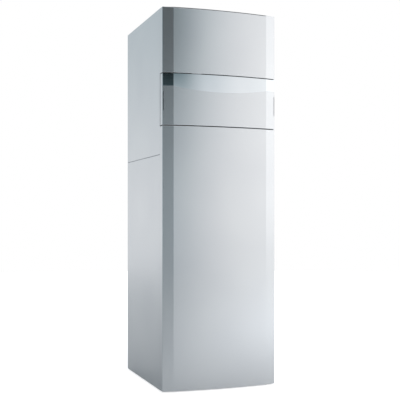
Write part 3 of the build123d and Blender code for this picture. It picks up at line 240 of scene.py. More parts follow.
# Turned outlines, as shares of the piece's sizes: radius, or step out or in from one, then distance along
KEY_TOP_SHARES = ((0, 1), (0.45, 0.85), (0.8, 0.2), (0.9, 0), (0.97, 0.4), (1, 1.4))
HUB_SHARES = ((0, 1), (0.8, 1), (1, 0.5), (1, 0), (0, 0))
SCREW_RISE_SHARE = 0.45
SCREW_SHARES = ((0, 0.5), (0.3, 0.5), (0.45, 1), (0.8, 0.8), (1, 0.25), (1, 0), (0, 0))
NUT_SHARES = ((0, 0), (0.88, 0), (1, 1 / 6), (1, 5 / 6), (0.88, 1), (0, 1))
PUMP_CAP_SHARES = ((0, 0.10), (0.16, 0.10), (0.18, 0.03), (0.80, 0.03), (0.86, 0), (0, 0))
HOOP_SHARES = ((-1, 0), (0.6, 0), (1, 0.25), (1, 0.75), (0.6, 1), (-1, 1), (-1, 0))
ELECTRODE_SHARES = ((0, 6), (0.4, 6), (0.4, 4.5), (1, 4.5), (1, 1.2), (1.8, 1.2), (1.8, 0), (0, 0))
SIGHT_RING_SHARES = ((1.6, 0), (2.6, 0), (2.6, 1), (2.2, 1.3), (1.8, 1.3), (1.6, 1), (1.6, 0))
SIGHT_GLASS_SHARES = ((0, 0.5), (1.6, 0.5), (1.6, 0), (0, 0))
TEST_POINT_SHARES = ((0, 0.12), (0.04, 0.12), (0.04, 0.04), (0.07, 0.04), (0.07, 0), (0, 0))
SEAL_SHARES = ((0, 0), (1, 0.5), (1, 1), (0, 2), (0, 0))

# Corners of two blocks, as shares of the motor's radius and of the gas valve's width
TERMINAL_SHARES = ((0.75, 0.3, -0.45), (1.35, 1.3, 0.55))
PLUG_SHARES = ((0.2, -0.12, 0.65), (0.65, 0, 1.1))

# Signs, as strokes in shares of their half size
FLAME_SHARES = [
    [(0, -1), (0.5, -0.75), (0.62, -0.2), (0.3, 0.3), (0.1, 1), (-0.2, 0.4), (-0.5, 0.1), (-0.62, -0.4),
     (-0.4, -0.8), (0, -1)],
]
TAP_SHARES = [
    [(-0.9, 0.2), (0.4, 0.2), (0.75, -0.1), (0.75, -0.5)],
    [(-0.1, 0.2), (-0.1, 0.7)],
    [(-0.5, 0.7), (0.3, 0.7)],
    [(0.75, -0.8), (0.75, -1)],
]
BAR_SHARES = [[(-0.45, 0), (0.45, 0)]]
KEY_SIGN_SHARES = {
    "key_back": [[(1, -1), (1, 0.4), (-1, 0.4)], [(-0.4, 1), (-1, 0.4), (-0.4, -0.2)]],
    "key_minus": [[(-1, 0), (1, 0)]],
    "key_plus": [[(-1, 0), (1, 0)], [(0, -1), (0, 1)]],
    "key_confirm": [[(-1, 0), (-0.2, -0.8), (1, 0.8)]],
}

# Studio: dome and floor, in metres, and how bright they are
DOME_RADIUS = 9.0
DOME_SEGMENTS = 64
DOME_RINGS = 32
FLOOR_REACH = 8.95
FLOOR_SEGMENTS = 128
FLOOR_TONE = (188, 190, 192)
FLOOR_ROUGHNESS = 0.7
FLOOR_SHINE = 0.2
CAMERA_GLOW = 0.80
# Painted light on the floor for metal and glass: glow shares that rise from the left to the right, and
# towards the back
MIRROR_SHARE = 0.06
BACK_SHARE = 0.35
DIM_LEFT = -0.7
DIM_RIGHT = 0.1
BACK_START = -1.5
COOL_RED = 0.66
COOL_GREEN = 0.14
COOL_POWER = 1.5

# Brightness round the object at eye level and high up: degrees from the front to the right, share of white
STUDIO_LEVEL = (
    (-180, 0.83), (-150, 0.83), (-120, 0.77), (-90, 0.58), (-60, 0.36), (-35, 0.34), (-22, 0.48), (-16, 0.60),
    (-13.8, 0.08), (-9.6, 0.08), (-7.4, 0.66), (4, 0.67), (15, 0.88), (28, 1.00), (40, 1.06), (60, 1.10),
    (90, 1.06), (130, 0.95), (180, 0.86),
)
STUDIO_HIGH = (
    (-180, 0.64), (-150, 0.63), (-120, 0.48), (-90, 0.22), (-60, 0.04), (-35, 0.0), (-18, 0.0),
    (-8, 0.0), (4, 0.16), (15, 0.68), (28, 0.92), (40, 1.02), (60, 1.08), (90, 1.00), (130, 0.8), (180, 0.60),
)
ZENITH = 0.80
HIGH_START = 0.15
HIGH_END = 0.42
ZENITH_START = 0.54
ZENITH_END = 0.76

# Lamps: place, target, size, power, and whether metal mirrors it
LAMPS = {
    "key_light": ((3.4, -2.0, 1.9), (0, 0, 0.9), (2.0, 2.6), 3, True),
    "floor_light": ((2.2, -2.2, 2.0), (2.2, -2.2, 0), (1.8, 1.8), 80, False),
    "top_light": ((0.4, -0.6, 4.2), (0.2, -0.4, 0), (4.0, 4.0), 15, True),
}


def make_camera():
    """The camera at the photograph's viewing angle, level, with its small shift."""
    data = bpy.data.cameras.new("camera")
    data.sensor_width = SENSOR_WIDTH
    data.lens = FOCAL_PIXELS / IMAGE_SIDE * SENSOR_WIDTH
    data.shift_x = (IMAGE_SIDE / 2 - CENTRE_X) / IMAGE_SIDE
    data.shift_y = (CENTRE_Y - IMAGE_SIDE / 2) / IMAGE_SIDE
    camera = bpy.data.objects.new("camera", data)
    bpy.context.scene.collection.objects.link(camera)
    camera.location = CAMERA_PLACE
    camera.rotation_euler = (math.radians(CAMERA_LEVEL), 0, math.radians(CAMERA_TURN))
    bpy.context.scene.camera = camera


# Material helpers
def colour(red, green, blue):
    """Display colour, 0 to 255, as the linear value that a shader takes."""
    def linear(value):
        value = value / 255
        return value / 12.92 if value <= 0.04045 else ((value + 0.055) / 1.055) ** 2.4
    return tuple(linear(value) for value in (red, green, blue))


def fill(tree, node, inputs):
    """Set inputs of a node, each to a value or to what another node gives."""
    for name, value in inputs.items():
        if isinstance(value, bpy.types.NodeSocket):
            tree.links.new(value, node.inputs[name])
        else:
            node.inputs[name].default_value = value


def new_node(tree, kind, inputs=None):
    """A shader node with its inputs filled."""
    node = tree.nodes.new(f"ShaderNode{kind}")
    fill(tree, node, inputs or {})
    return node


def math_node(tree, operation, first, second):
    """One operation on two values, each a number or a socket."""
    node = new_node(tree, "Math", {0: first, 1: second})
    node.operation = operation
    return node.outputs["Value"]


materials = {}


def new_material(name):
    """A material, kept under its name, with a principled shader and nothing else."""
    material = bpy.data.materials.new(name)
    materials[name] = material
    material.use_nodes = True
    tree = material.node_tree
    tree.nodes.clear()
    shader = new_node(tree, "BsdfPrincipled")
    new_node(tree, "OutputMaterial", {"Surface": shader.outputs["BSDF"]})
    return tree, shader


def place(tree, stretch=None):
    """Object coordinates, stretched along the axes if asked."""
    vector = new_node(tree, "TexCoord").outputs["Object"]
    if stretch is None:
        return vector
    return new_node(tree, "Mapping", {"Scale": stretch, "Vector": vector}).outputs["Vector"]


def noise(tree, size, kind, vector):
    """Noise of one kind, a detail and a roughness, over a vector."""
    inputs = {"Scale": size, "Detail": kind[0], "Roughness": kind[1], "Vector": vector}
    return new_node(tree, "TexNoise", inputs).outputs["Fac"]


def cells(tree, size, vector):
    """Random grey cells, for spangle, foam and flakes."""
    node = new_node(tree, "TexVoronoi", {"Scale": size, "Vector": vector})
    return new_node(tree, "RGBToBW", {"Color": node.outputs["Color"]}).outputs["Val"]


def spread(tree, value, low, high, start=NOISE_START, end=NOISE_END):
    """A value carried from one range to another."""
    inputs = {"Value": value, "From Min": start, "From Max": end, "To Min": low, "To Max": high}
    return new_node(tree, "MapRange", inputs).outputs["Result"]


def mix_colours(tree, factor, first, second):
    """A mix of two colours, each a value or a socket."""
    node = new_node(tree, "Mix")
    node.data_type = "RGBA"
    inputs = {"Factor": factor}
    for socket, tone in zip(MIX_SOCKETS, (first, second)):
        inputs[socket] = tone if isinstance(tone, bpy.types.NodeSocket) else (*tone, 1)
    fill(tree, node, inputs)
    return node.outputs[MIX_RESULT]


def darker(tone, share):
    """A tone at a share of its brightness."""
    return tuple(part * share for part in tone)


def relief(tree, shader, height, strength, distance, **inputs):
    """Relief from a height, on the shader, over another relief if its normal is given."""
    node = new_node(tree, "Bump", {"Height": height, "Strength": strength, "Distance": distance, **inputs})
    tree.links.new(node.outputs["Normal"], shader.inputs["Normal"])
    return node.outputs["Normal"]


def finish(name, base, tint, rough, metal=0.0, grain=(0.15, 900), wave=(0.2, 200), stretch=None,
           pattern=None, coat=0.0, sheen=0.0, depth=PAINT_RELIEF, cloud_detail=5.0, rough_swing=0.035):
    """A surface finish: cloudy colour between two tones, fine grain, and a soft wave in the relief.
    base and tint are display colours; grain, wave and a pattern of random cells are a strength and a size."""
    tree, shader = new_material(name)
    base, tint = colour(*base), colour(*tint)
    vector = place(tree, stretch)
    cloud = noise(tree, CLOUD_SIZE, (cloud_detail, CLOUD_ROUGHNESS), place(tree))
    fine = noise(tree, grain[1], FINE_NOISE, vector)
    broad = noise(tree, wave[1], BROAD_NOISE, vector)
    shade = mix_colours(tree, spread(tree, cloud, 0, 1), base, tint)
    if pattern:
        spangle = spread(tree, cells(tree, pattern[1], vector), 0, pattern[0], 0, 1)
        shade = mix_colours(tree, spangle, shade, darker(base, PATTERN_DARK_SHARE))
    shade = mix_colours(tree, spread(tree, fine, 0, grain[0]), shade, darker(base, GRAIN_DARK_SHARE))
    if rough_swing:
        rough = spread(tree, cloud, rough - rough_swing, rough + rough_swing)
    fill(tree, shader, {
        "Base Color": shade,
        "Roughness": rough,
        "Metallic": metal,
        "Coat Weight": coat,
        "Coat Roughness": COAT_ROUGHNESS,
        "Sheen Weight": sheen,
    })
    first = relief(tree, shader, broad, wave[0], depth)
    relief(tree, shader, fine, grain[0], depth / 3, Normal=first)


def clear_glass(name):
    """Clear window material with faint smears in its roughness."""
    tree, shader = new_material(name)
    smear = noise(tree, SMEAR_SIZE, SMEAR_NOISE, place(tree))
    fill(tree, shader, {
        "Base Color": WHITE,
        "Transmission Weight": 1,
        "IOR": GLASS_INDEX,
        "Roughness": spread(tree, smear, *SMEAR_ROUGHNESS),
    })
    relief(tree, shader, smear, SMEAR_STRENGTH, SMEAR_RELIEF)


def glowing(name, tone):
    """A lit mark behind glass, a little uneven."""
    tree, shader = new_material(name)
    tone = colour(*tone)
    cloud = noise(tree, GLOW_SIZE, BROAD_NOISE, place(tree))
    fill(tree, shader, {
        "Base Color": (*tone, 1),
        "Emission Color": mix_colours(tree, cloud, tone, darker(tone, GLOW_DARK_SHARE)),
        "Emission Strength": GLOW_STRENGTH,
        "Roughness": spread(tree, cloud, *GLOW_ROUGHNESS),
    })


# Finishes: base and tint as display colours, roughness, metal, then what differs from a plain finish
SILVER = (231, 233, 235)
SILVER_TINT = (226, 228, 231)
STEEL = (178, 182, 186)
STEEL_TINT = (160, 165, 170)
BLACK = (34, 35, 37)
BLACK_TINT = (46, 47, 49)

finish("casing_paint", SILVER, SILVER_TINT, 0.27, 0.96, (0.05, 2600), (0.012, 320), cloud_detail=1.0,
       rough_swing=0.0)
finish("flap_paint", SILVER, SILVER_TINT, 0.27, 0.96, (0.05, 2600), (0.012, 380), cloud_detail=1.0,
       rough_swing=0.0)
finish("band_metal", (238, 242, 245), (230, 235, 239), 0.12, 1.0, (0.16, 1500), (0.1, 600),
       stretch=(0.03, 0.03, 1.0))
finish("grip_plastic", (224, 226, 228), (216, 218, 220), 0.5, 0.1, (0.1, 1400))
finish("foot_plastic", BLACK, BLACK_TINT, 0.6, 0.0, (0.3, 1400), (0.3, 300))
finish("inner_sheet", STEEL, STEEL_TINT, 0.42, 1.0, (0.15, 700), (0.1, 90), pattern=(0.35, 90))
finish("screw_steel", (196, 198, 198), (176, 178, 180), 0.3, 1.0, (0.2, 1800))
finish("catch_plastic", (222, 222, 218), (210, 210, 206), 0.5, 0.0, (0.1, 1200))
finish("bracket_steel", STEEL, STEEL_TINT, 0.36, 1.0, (0.2, 900), stretch=(1, 1, 0.05))
finish("housing_plastic", (58, 61, 65), (50, 53, 57), 0.55, 0.0, (0.2, 1600))
finish("board", (26, 84, 52), (20, 70, 44), 0.4, 0.0, (0.2, 600), pattern=(0.5, 400), coat=0.3)
finish("fascia_plastic", (70, 74, 79), (62, 66, 71), 0.42, 0.0, (0.12, 2200), (0.2, 700))
finish("display_glass", (18, 22, 28), (24, 30, 38), 0.12, 0.0, (0.05, 800), coat=0.8)
finish("key_plastic", (205, 208, 211), (194, 197, 200), 0.4, 0.0, (0.1, 1800))
finish("switch_plastic", BLACK, BLACK_TINT, 0.32, 0.0, (0.1, 1500))
finish("gauge_plastic", (240, 240, 236), (230, 230, 226), 0.4, 0.0, (0.05, 1500))
finish("needle_paint", (34, 34, 36), (26, 26, 28), 0.35, 0.0, (0.1, 1500))
finish("tank_steel", (66, 96, 148), (56, 84, 132), 0.35, 0.2, (0.2, 500), coat=0.4)
finish("jacket_foam", (238, 238, 234), (222, 223, 220), 0.85, 0.0, (0.35, 240), (0.6, 60),
       pattern=(0.25, 160), sheen=0.3, depth=FOAM_RELIEF)
finish("anode_metal", (190, 192, 190), (168, 170, 170), 0.5, 1.0, (0.3, 400))
finish("brass", (212, 180, 108), (190, 156, 88), 0.32, 1.0, (0.2, 700), (0.3, 160))
finish("lever_plastic", (30, 88, 160), (26, 76, 142), 0.4, 0.0, (0.1, 1200))
finish("exchanger_metal", (196, 198, 200), (170, 173, 176), 0.5, 1.0, (0.35, 420), (0.5, 120),
       depth=CAST_RELIEF)
finish("door_metal", (186, 188, 190), (160, 163, 166), 0.48, 1.0, (0.35, 420), (0.5, 110),
       depth=CAST_RELIEF)
finish("burner_steel", (176, 166, 150), (140, 128, 118), 0.4, 1.0, (0.3, 900))
finish("fan_plastic", (44, 45, 48), (54, 55, 58), 0.55, 0.0, (0.25, 900), (0.3, 220))
finish("motor_black", BLACK, BLACK_TINT, 0.45, 0.3, (0.2, 900), (0.3, 200))
finish("wheel_plastic", (214, 210, 198), (200, 196, 184), 0.45, 0.0, (0.1, 900))
finish("valve_metal", (188, 190, 192), (168, 171, 174), 0.45, 1.0, (0.3, 500), (0.4, 130),
       depth=VALVE_RELIEF)
finish("flue_plastic", (236, 235, 230), (226, 225, 220), 0.42, 0.0, (0.06, 900))
finish("collar_metal", (232, 235, 237), (222, 226, 229), 0.38, 0.6, (0.1, 1500))
finish("trap_plastic", (204, 206, 208), (190, 193, 196), 0.4, 0.0, (0.1, 900))
finish("pump_iron", (52, 56, 60), (44, 48, 52), 0.5, 0.5, (0.4, 420), (0.5, 100), depth=IRON_RELIEF)
finish("plates_steel", (200, 202, 204), (182, 184, 187), 0.3, 1.0, (0.15, 900), pattern=(0.2, 60))
finish("vessel_paint", (170, 42, 38), (152, 36, 32), 0.38, 0.1, (0.15, 900), (0.3, 240), coat=0.4)
finish("knob_plastic", (186, 40, 34), (168, 34, 30), 0.42, 0.0, (0.1, 1200))
finish("pipe_steel", (188, 190, 192), (168, 171, 174), 0.35, 1.0, (0.2, 600))
finish("pipe_copper", (214, 142, 106), (188, 116, 82), 0.32, 1.0, (0.25, 500), (0.2, 90))
finish("gas_steel", (196, 178, 86), (182, 162, 74), 0.42, 0.3, (0.2, 600))
finish("grommet_rubber", BLACK, BLACK_TINT, 0.7, 0.0, (0.3, 1200), (0.4, 260))
clear_glass("lens_glass")
glowing("screen_light", (190, 222, 235))
for mark_name, base, tint in (
    ("mark_white", (236, 238, 240), (228, 230, 232)),
    ("mark_dark", (50, 54, 60), (44, 48, 54)),
    ("mark_green", (62, 150, 84), (54, 138, 76)),
    ("mark_red", (196, 52, 46), (182, 46, 42)),
):
    finish(mark_name, base, tint, 0.4, 0.0, (0.05, 1500))


# Mesh helpers
def plain_object(name, form):
    """An object in the scene with the mesh of a bmesh."""
    mesh = bpy.data.meshes.new(name)
    form.to_mesh(mesh)
    form.free()
    piece = bpy.data.objects.new(name, mesh)
    bpy.context.scene.collection.objects.link(piece)
    return piece


def link(name, form, slot, material=None, body="casing", smooth=SMOOTH_ANGLE):
    """A finished mesh piece from a bmesh, in its slot's own material unless another is named."""
    bmesh.ops.remove_doubles(form, verts=form.verts, dist=MERGE_REACH)
    bmesh.ops.recalc_face_normals(form, faces=form.faces)
    piece = plain_object(name, form)
    piece.data.materials.append(materials[material or slot])
    for face in piece.data.polygons:
        face.use_smooth = True
    piece.data.set_sharp_from_angle(angle=math.radians(smooth))
    even_normals(piece)
    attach(piece, body)
    return piece


def even_normals(piece):
    """Flat faces stay flat beside their rounded edges."""
    normals = piece.modifiers.new("normals", "WEIGHTED_NORMAL")
    normals.weight = FLAT_WEIGHT
    normals.keep_sharp = True


def centre(node):
    """Middle of a node's box."""
    low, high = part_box(node)
    return (low + high) / 2


def rounded(before, corner, after, radius, steps):
    """Points of an arc that rounds a corner between two directions."""
    into = (corner - before).normalized()
    out = (after - corner).normalized()
    turn = math.acos(max(-1, min(1, into.dot(out))))
    start = corner - into * radius * math.tan(turn / 2)
    side = Vector((-into.y, into.x))
    if side.dot(out) < 0:
        side = -side
    centre = start + side * radius
    points = []
    for step in range(steps + 1):
        angle = turn * step / steps
        points.append(centre - side * radius * math.cos(angle) + into * radius * math.sin(angle))
    return points


def front_outline(back, extra=()):
    """Plan of the wrap-round front from the left edge to the right one, as points and outward normals.
    back is where the edges end; extra holds further depths that get points of their own."""
    bow_half = math.asin(crease_x / bow_radius)
    bow = []
    for step in range(BOW_STEPS + 1):
        angle = bow_half * (2 * step / BOW_STEPS - 1)
        bow.append(Vector((bow_radius * math.sin(angle), bow_centre - bow_radius * math.cos(angle))))
    corner = Vector((-half_width, corner_y))
    left = [Vector((-half_width, depth)) for depth in (back, *extra)]
    left += rounded(left[0], corner, bow[0], CORNER_ROUND, CORNER_STEPS)
    left += rounded(corner, bow[0], bow[1], CREASE_ROUND, CREASE_STEPS)
    right = [Vector((-point.x, point.y)) for point in reversed(left)]
    points = left + bow[1:-1] + right
    outline = []
    for index, point in enumerate(points):
        along = points[min(index + 1, len(points) - 1)] - points[max(index - 1, 0)]
        outline.append((point, Vector((along.y, -along.x)).normalized()))
    return outline


def quarter(inset, level, radius, start):
    """A quarter round in a cross-section, as insets and heights, from a start angle in degrees."""
    for step in range(QUARTER_STEPS + 1):
        angle = math.radians(start + 90 * step / QUARTER_STEPS)
        yield inset - radius * math.cos(angle), level + radius * math.sin(angle)


def sheet_ring(low, high):
    """Cross-section of a folded panel: rounded edges and a short hem, as insets and heights."""
    bend = SHEET + EDGE_ROUND / 2
    inner = (HEM, high), (HEM, high - SHEET), (bend, high - SHEET), (SHEET, high - bend)
    outer = (SHEET, low + bend), (bend, low + SHEET), (HEM, low + SHEET), (HEM, low)
    top = quarter(EDGE_ROUND, high - EDGE_ROUND, EDGE_ROUND, 0)
    bottom = quarter(EDGE_ROUND, low + EDGE_ROUND, EDGE_ROUND, -90)
    return [*top, *inner, *outer, *bottom]


def loops_along(form, outline, rings):
    """Points of a ring of insets and heights at each outline point."""
    loops = []
    for (point, normal), ring in zip(outline, rings):
        loops.append([form.verts.new((*(point - normal * inset), level)) for inset, level in ring])
    return loops


def skin_between(form, loops, closed):
    """Faces between neighbouring loops."""
    for first, second in zip(loops, loops[1:]):
        for index in range(len(first) if closed else len(first) - 1):
            after = (index + 1) % len(first)
            form.faces.new((first[index], first[after], second[after], second[index]))


def swept(form, outline, rings):
    """A closed solid through one ring of insets and heights at each outline point."""
    loops = loops_along(form, outline, rings)
    skin_between(form, loops, True)
    form.faces.new(loops[0])
    form.faces.new(loops[-1][::-1])


def block_into(form, low, high, bevel=0):
    """A block inside a piece, with bevelled edges if asked."""
    made = bmesh.ops.create_cube(form, size=1)["verts"]
    for vert in made:
        spans = zip(low, high, vert.co)
        vert.co = Vector(start + (end - start) * (share + 0.5) for start, end, share in spans)
    if bevel:
        edges = list({edge for vert in made for edge in vert.link_edges})
        bmesh.ops.bevel(form, geom=edges, offset=bevel, segments=BEVEL_STEPS,
                        profile=BEVEL_PROFILE_SHARE, affect="EDGES")


def turned_into(form, profile, origin, axis, steps=TURNED_STEPS):
    """A turned solid about an axis, from radii and distances along it: a ring, or else with closed ends."""
    axis = Vector(axis).normalized()
    across = axis.orthogonal().normalized()
    up = axis.cross(across)
    loops = []
    for radius, along in profile:
        centre = Vector(origin) + axis * along
        if radius == 0:
            loops.append([form.verts.new(centre)])
            continue
        loop = []
        for step in range(steps):
            angle = 2 * math.pi * step / steps
            loop.append(form.verts.new(centre + (across * math.cos(angle) + up * math.sin(angle)) * radius))
        loops.append(loop)
    for first, second in zip(loops, loops[1:]):
        for step in range(steps):
            after = (step + 1) % steps
            corners = [first[step % len(first)], first[after % len(first)],
                       second[after % len(second)], second[step % len(second)]]
            face = []
            for corner in corners:
                if corner not in face:
                    face.append(corner)
            if len(face) > 2:
                form.faces.new(face)
    if profile[0] == profile[-1]:
        return
    if len(loops[0]) > 1:
        form.faces.new(loops[0])
    if len(loops[-1]) > 1:
        form.faces.new(loops[-1][::-1])


def turned(name, profile, origin, axis, slot, material=None, body="casing", steps=TURNED_STEPS):
    """A turned piece of its own."""
    form = bmesh.new()
    turned_into(form, profile, origin, axis, steps)
    return link(name, form, slot, material, body)


def scaled(shares, radius, along):
    """A turned outline from its shares of a radius and of a length along the axis."""
    return [(share * radius, distance * along) for share, distance in shares]


def block_piece(name, low, high, bevel, slot, material=None):
    """A piece of its own that is one block."""
    form = bmesh.new()
    block_into(form, low, high, bevel)
    link(name, form, slot, material)


def corners_at(origin, shares, size):
    """Both corners of a block, from their shares of a size."""
    return [origin + Vector(share) * size for share in shares]


def prism_into(form, points, origin, across, up, depth):
    """A flat outline given thickness along the way it faces."""
    across, up = Vector(across), Vector(up)
    out = across.cross(up)
    base = [form.verts.new(Vector(origin) + across * x + up * y) for x, y in points]
    front = [form.verts.new(vert.co + out * depth) for vert in base]
    form.faces.new(base[::-1])
    form.faces.new(front)
    skin_between(form, (base, front), True)


def ring_points(radius, count, start=0.0, end=360.0):
    """Points on an arc."""
    closed = end - start == 360.0
    steps = count if closed else count - 1
    return [(radius * math.cos(math.radians(start + (end - start) * step / steps)),
             radius * math.sin(math.radians(start + (end - start) * step / steps))) for step in range(count)]


# Casing panels
def bow_flange(form, level):
    """A folded flange behind the bow at a level."""
    outline = [(point, normal) for point, normal in front_outline(return_y) if abs(point.x) <= FLANGE_HALF]
    ring = [(HEM, level), (FLANGE_DEPTH, level), (FLANGE_DEPTH, level + SHEET), (HEM, level + SHEET)]
    swept(form, outline, [ring] * len(outline))


def front_panel(name, node, body, crown):
    """A folded steel front, wrapped round both corners, its middle lower than its strips by the crown."""
    low, high = (corner.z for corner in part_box(node))
    outline = front_outline(return_y)
    rings = []
    for point, _ in outline:
        share = min(1, max(0, (abs(point.x) - crease_x) / (CREASE_ROUND / 4) + 0.5))
        rings.append(sheet_ring(low, high - crown * (1 - share)))
    form = bmesh.new()
    swept(form, outline, rings)
    bow_flange(form, low)
    bow_flange(form, high - crown - SHEET)
    for side in (-1, 1):
        near, far = sorted((side * (half_width - SHEET), side * (half_width - SHEET - FLANGE_DEPTH)))
        block_into(form, (near, return_y - SHEET, low + HEM), (far, return_y, high - crown - HEM))
    piece = link(name, form, "casing_paint", body=body)
    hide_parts(node)


def band_edge(x):
    """Height of the band's lower edge across the flap."""
    if abs(x) >= crease_x:
        return flap_high - BAND_END
    return band_low + band_radius - math.sqrt(band_radius**2 - x**2)


def span_halves(form, points):
    """Faces from the left half of a row of points to its right half."""
    last = len(points) - 1
    middle = len(points) // 2
    for index in range(middle - 1):
        form.faces.new((points[index], points[index + 1], points[last - 1 - index], points[last - index]))
    if last % 2 == 0:
        form.faces.new(points[middle - 1:middle + 2])


def flap_shell():
    """The flap: a shallow tray, open at the back, with a step for the trim band and a slot at each side."""
    band_back = corner_y + CORNER_ROUND
    outline = front_outline(return_y - FLAP_SETBACK, (band_back + BAND_STEP, band_back))
    flat = QUARTER_STEPS + 1
    outer, inner = [], []
    for point, _ in outline:
        depth = BAND_WALL if point.y <= band_back + BAND_STEP / 4 else 0
        edge = band_edge(point.x) - BAND_GAP
        ring = list(quarter(EDGE_ROUND, flap_low + EDGE_ROUND, EDGE_ROUND, -90))
        if depth:
            ring += quarter(BAND_ROUND, edge - BAND_ROUND, BAND_ROUND, 0)
        else:
            ring += [(0, edge - BAND_ROUND * (flat - step) / flat) for step in range(flat)]
        ring += [(depth, edge), *quarter(depth + BAND_ROUND, flap_high - BAND_ROUND, BAND_ROUND, 0)]
        outer.append(ring)
        inner.append([(FLAP_WALL, flap_low + FLAP_WALL), (FLAP_WALL, flap_high - FLAP_WALL)])
    form = bmesh.new()
    outer = loops_along(form, outline, outer)
    inner = loops_along(form, outline, inner)
    skin_between(form, outer, False)
    skin_between(form, inner, False)
    for loops in (outer, inner):
        for end in (0, -1):
            span_halves(form, [loop[end] for loop in loops])
    for side in (0, -1):
        form.faces.new([*outer[side], *inner[side][::-1]])
    for end in (0, -1):
        form.faces.new((outer[0][end], outer[-1][end], inner[-1][end], inner[0][end]))
    piece = link("flap_shell", form, "flap_paint", body="flap")
    cut_slots(piece)
    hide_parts("control_flap")


def cut_slots(piece):
    """The finger slots of the flap, in front of their liners, with rounded ends."""
    low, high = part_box("flap_grips")
    half = SLOT_WIDTH / 2
    form = bmesh.new()
    for side in (-1, 1):
        outline = []
        middle = side * (half_width - FLAP_WALL - half)
        for level, start in ((high.z - BAND_WALL - half, 0), (low.z + BAND_WALL + half, 180)):
            for x, z in ring_points(half, SLOT_STEPS, start, start + 180):
                outline.append((middle + x, level + z))
        prism_into(form, outline, (0, low.y + SLOT_SINK, 0), ACROSS, UP, SLOT_REACH)
    bmesh.ops.recalc_face_normals(form, faces=form.faces)
    cutter = plain_object("slot_cutter", form)
    piece.modifiers.clear()
    modifier = piece.modifiers.new("slots", "BOOLEAN")
    modifier.operation = "DIFFERENCE"
    modifier.solver = "EXACT"
    modifier.object = cutter
    bpy.context.view_layer.update()
    cut = bpy.data.meshes.new_from_object(piece.evaluated_get(bpy.context.evaluated_depsgraph_get()))
    piece.modifiers.clear()
    bpy.data.objects.remove(cutter)
    cut.materials.clear()
    cut.materials.append(materials["flap_paint"])
    cut.set_sharp_from_angle(angle=math.radians(SMOOTH_ANGLE))
    piece.data = cut
    even_normals(piece)


def trim_band():
    """The curved trim band let into the top of the flap, very slightly crowned."""
    band_back = corner_y + CORNER_ROUND - BAND_END_GAP
    outline = front_outline(band_back)
    rings = []
    for point, _ in outline:
        low, high = band_edge(point.x), flap_high
        half = (high - low) / 2
        face = []
        for step in range(BAND_STEPS + 1):
            level = low + BAND_ROUND + (high - low - 2 * BAND_ROUND) * step / BAND_STEPS
            face.append((BAND_CROWN * ((level - low - half) / half) ** 2, level))
        rings.append([(BAND_CROWN + BAND_ROUND / 2, low), *face, (BAND_CROWN + BAND_ROUND / 2, high),
                      (BAND_WALL, high), (BAND_WALL, low)])
    form = bmesh.new()
    swept(form, outline, rings)
    piece = link("trim_band", form, "band_metal", body="flap", smooth=BAND_SMOOTH_ANGLE)
    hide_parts("flap_trim_band")


# Control panel: screen, keys, gauge and switch
def stroke_into(form, points, width, origin, depth, up=UP):
    """A raised line through points on a surface that faces forward, with a round dot at each point."""
    for start, end in zip(points, points[1:]):
        start, end = Vector(start), Vector(end)
        along = (end - start).normalized() * (width / 2)
        side = Vector((-along.y, along.x))
        prism_into(form, [start - side, end - side, end + side, start + side], origin, ACROSS, up, depth)
    for point in points:
        dot = [(point[0] + x, point[1] + z) for x, z in ring_points(width / 2, 12)]
        prism_into(form, dot, origin, ACROSS, up, depth * DOT_SHARE)


def mark(name, strokes, width, origin, slot, material="mark_dark", body="casing", up=UP):
    """A printed or lit mark made of strokes."""
    form = bmesh.new()
    for points in strokes:
        stroke_into(form, points, width, origin, MARK_DEPTH, up)
    link(name, form, slot, material, body)


def digit(value, width, height):
    """Strokes of one digit of a segment display, from its lower left corner."""
    half = height / 2
    bars = {
        "a": [(0, height), (width, height)], "b": [(width, height), (width, half)],
        "c": [(width, half), (width, 0)], "d": [(0, 0), (width, 0)], "e": [(0, half), (0, 0)],
        "f": [(0, height), (0, half)], "g": [(0, half), (width, half)],
    }
    lit = ("abcdef", "bc", "abged", "abgcd", "fgbc", "afgcd", "afgedc")[value]
    return [bars[name] for name in lit]


def shifted(strokes, x, z, scale=1):
    """Strokes scaled and moved on their surface."""
    return [[(point[0] * scale + x, point[1] * scale + z) for point in points] for points in strokes]


def screen_marks(origin):
    """The lit marks of the display: a temperature, a flame, a tap and a row of level bars."""
    size = WINDOW_HEIGHT * DIGIT_SHARE
    width = size / 2
    degree = [(width * 1.6 + x, size * 0.42 + z) for x, z in ring_points(width / 7, 17)]
    number = [*digit(6, width, size), *shifted(digit(2, width, size), width * 1.5, 0)]
    strokes = [*shifted(number, -width * 1.25, -size / 2), [*degree, degree[0]]]
    mark("screen_number", strokes, size / 11, origin, "display_glass", "screen_light")
    signs = shifted(FLAME_SHARES, -WINDOW_HALF * 0.7, 0, size / 3)
    signs += shifted(TAP_SHARES, WINDOW_HALF * 0.72, 0, size / 3)
    pitch = WINDOW_HALF * 1.5 / LEVEL_BARS
    for index in range(LEVEL_BARS):
        signs += shifted(BAR_SHARES, pitch * (index - (LEVEL_BARS - 1) / 2), -WINDOW_HEIGHT * 0.38, pitch / 2)
    mark("screen_signs", signs, size / 18, origin, "display_glass", "screen_light")


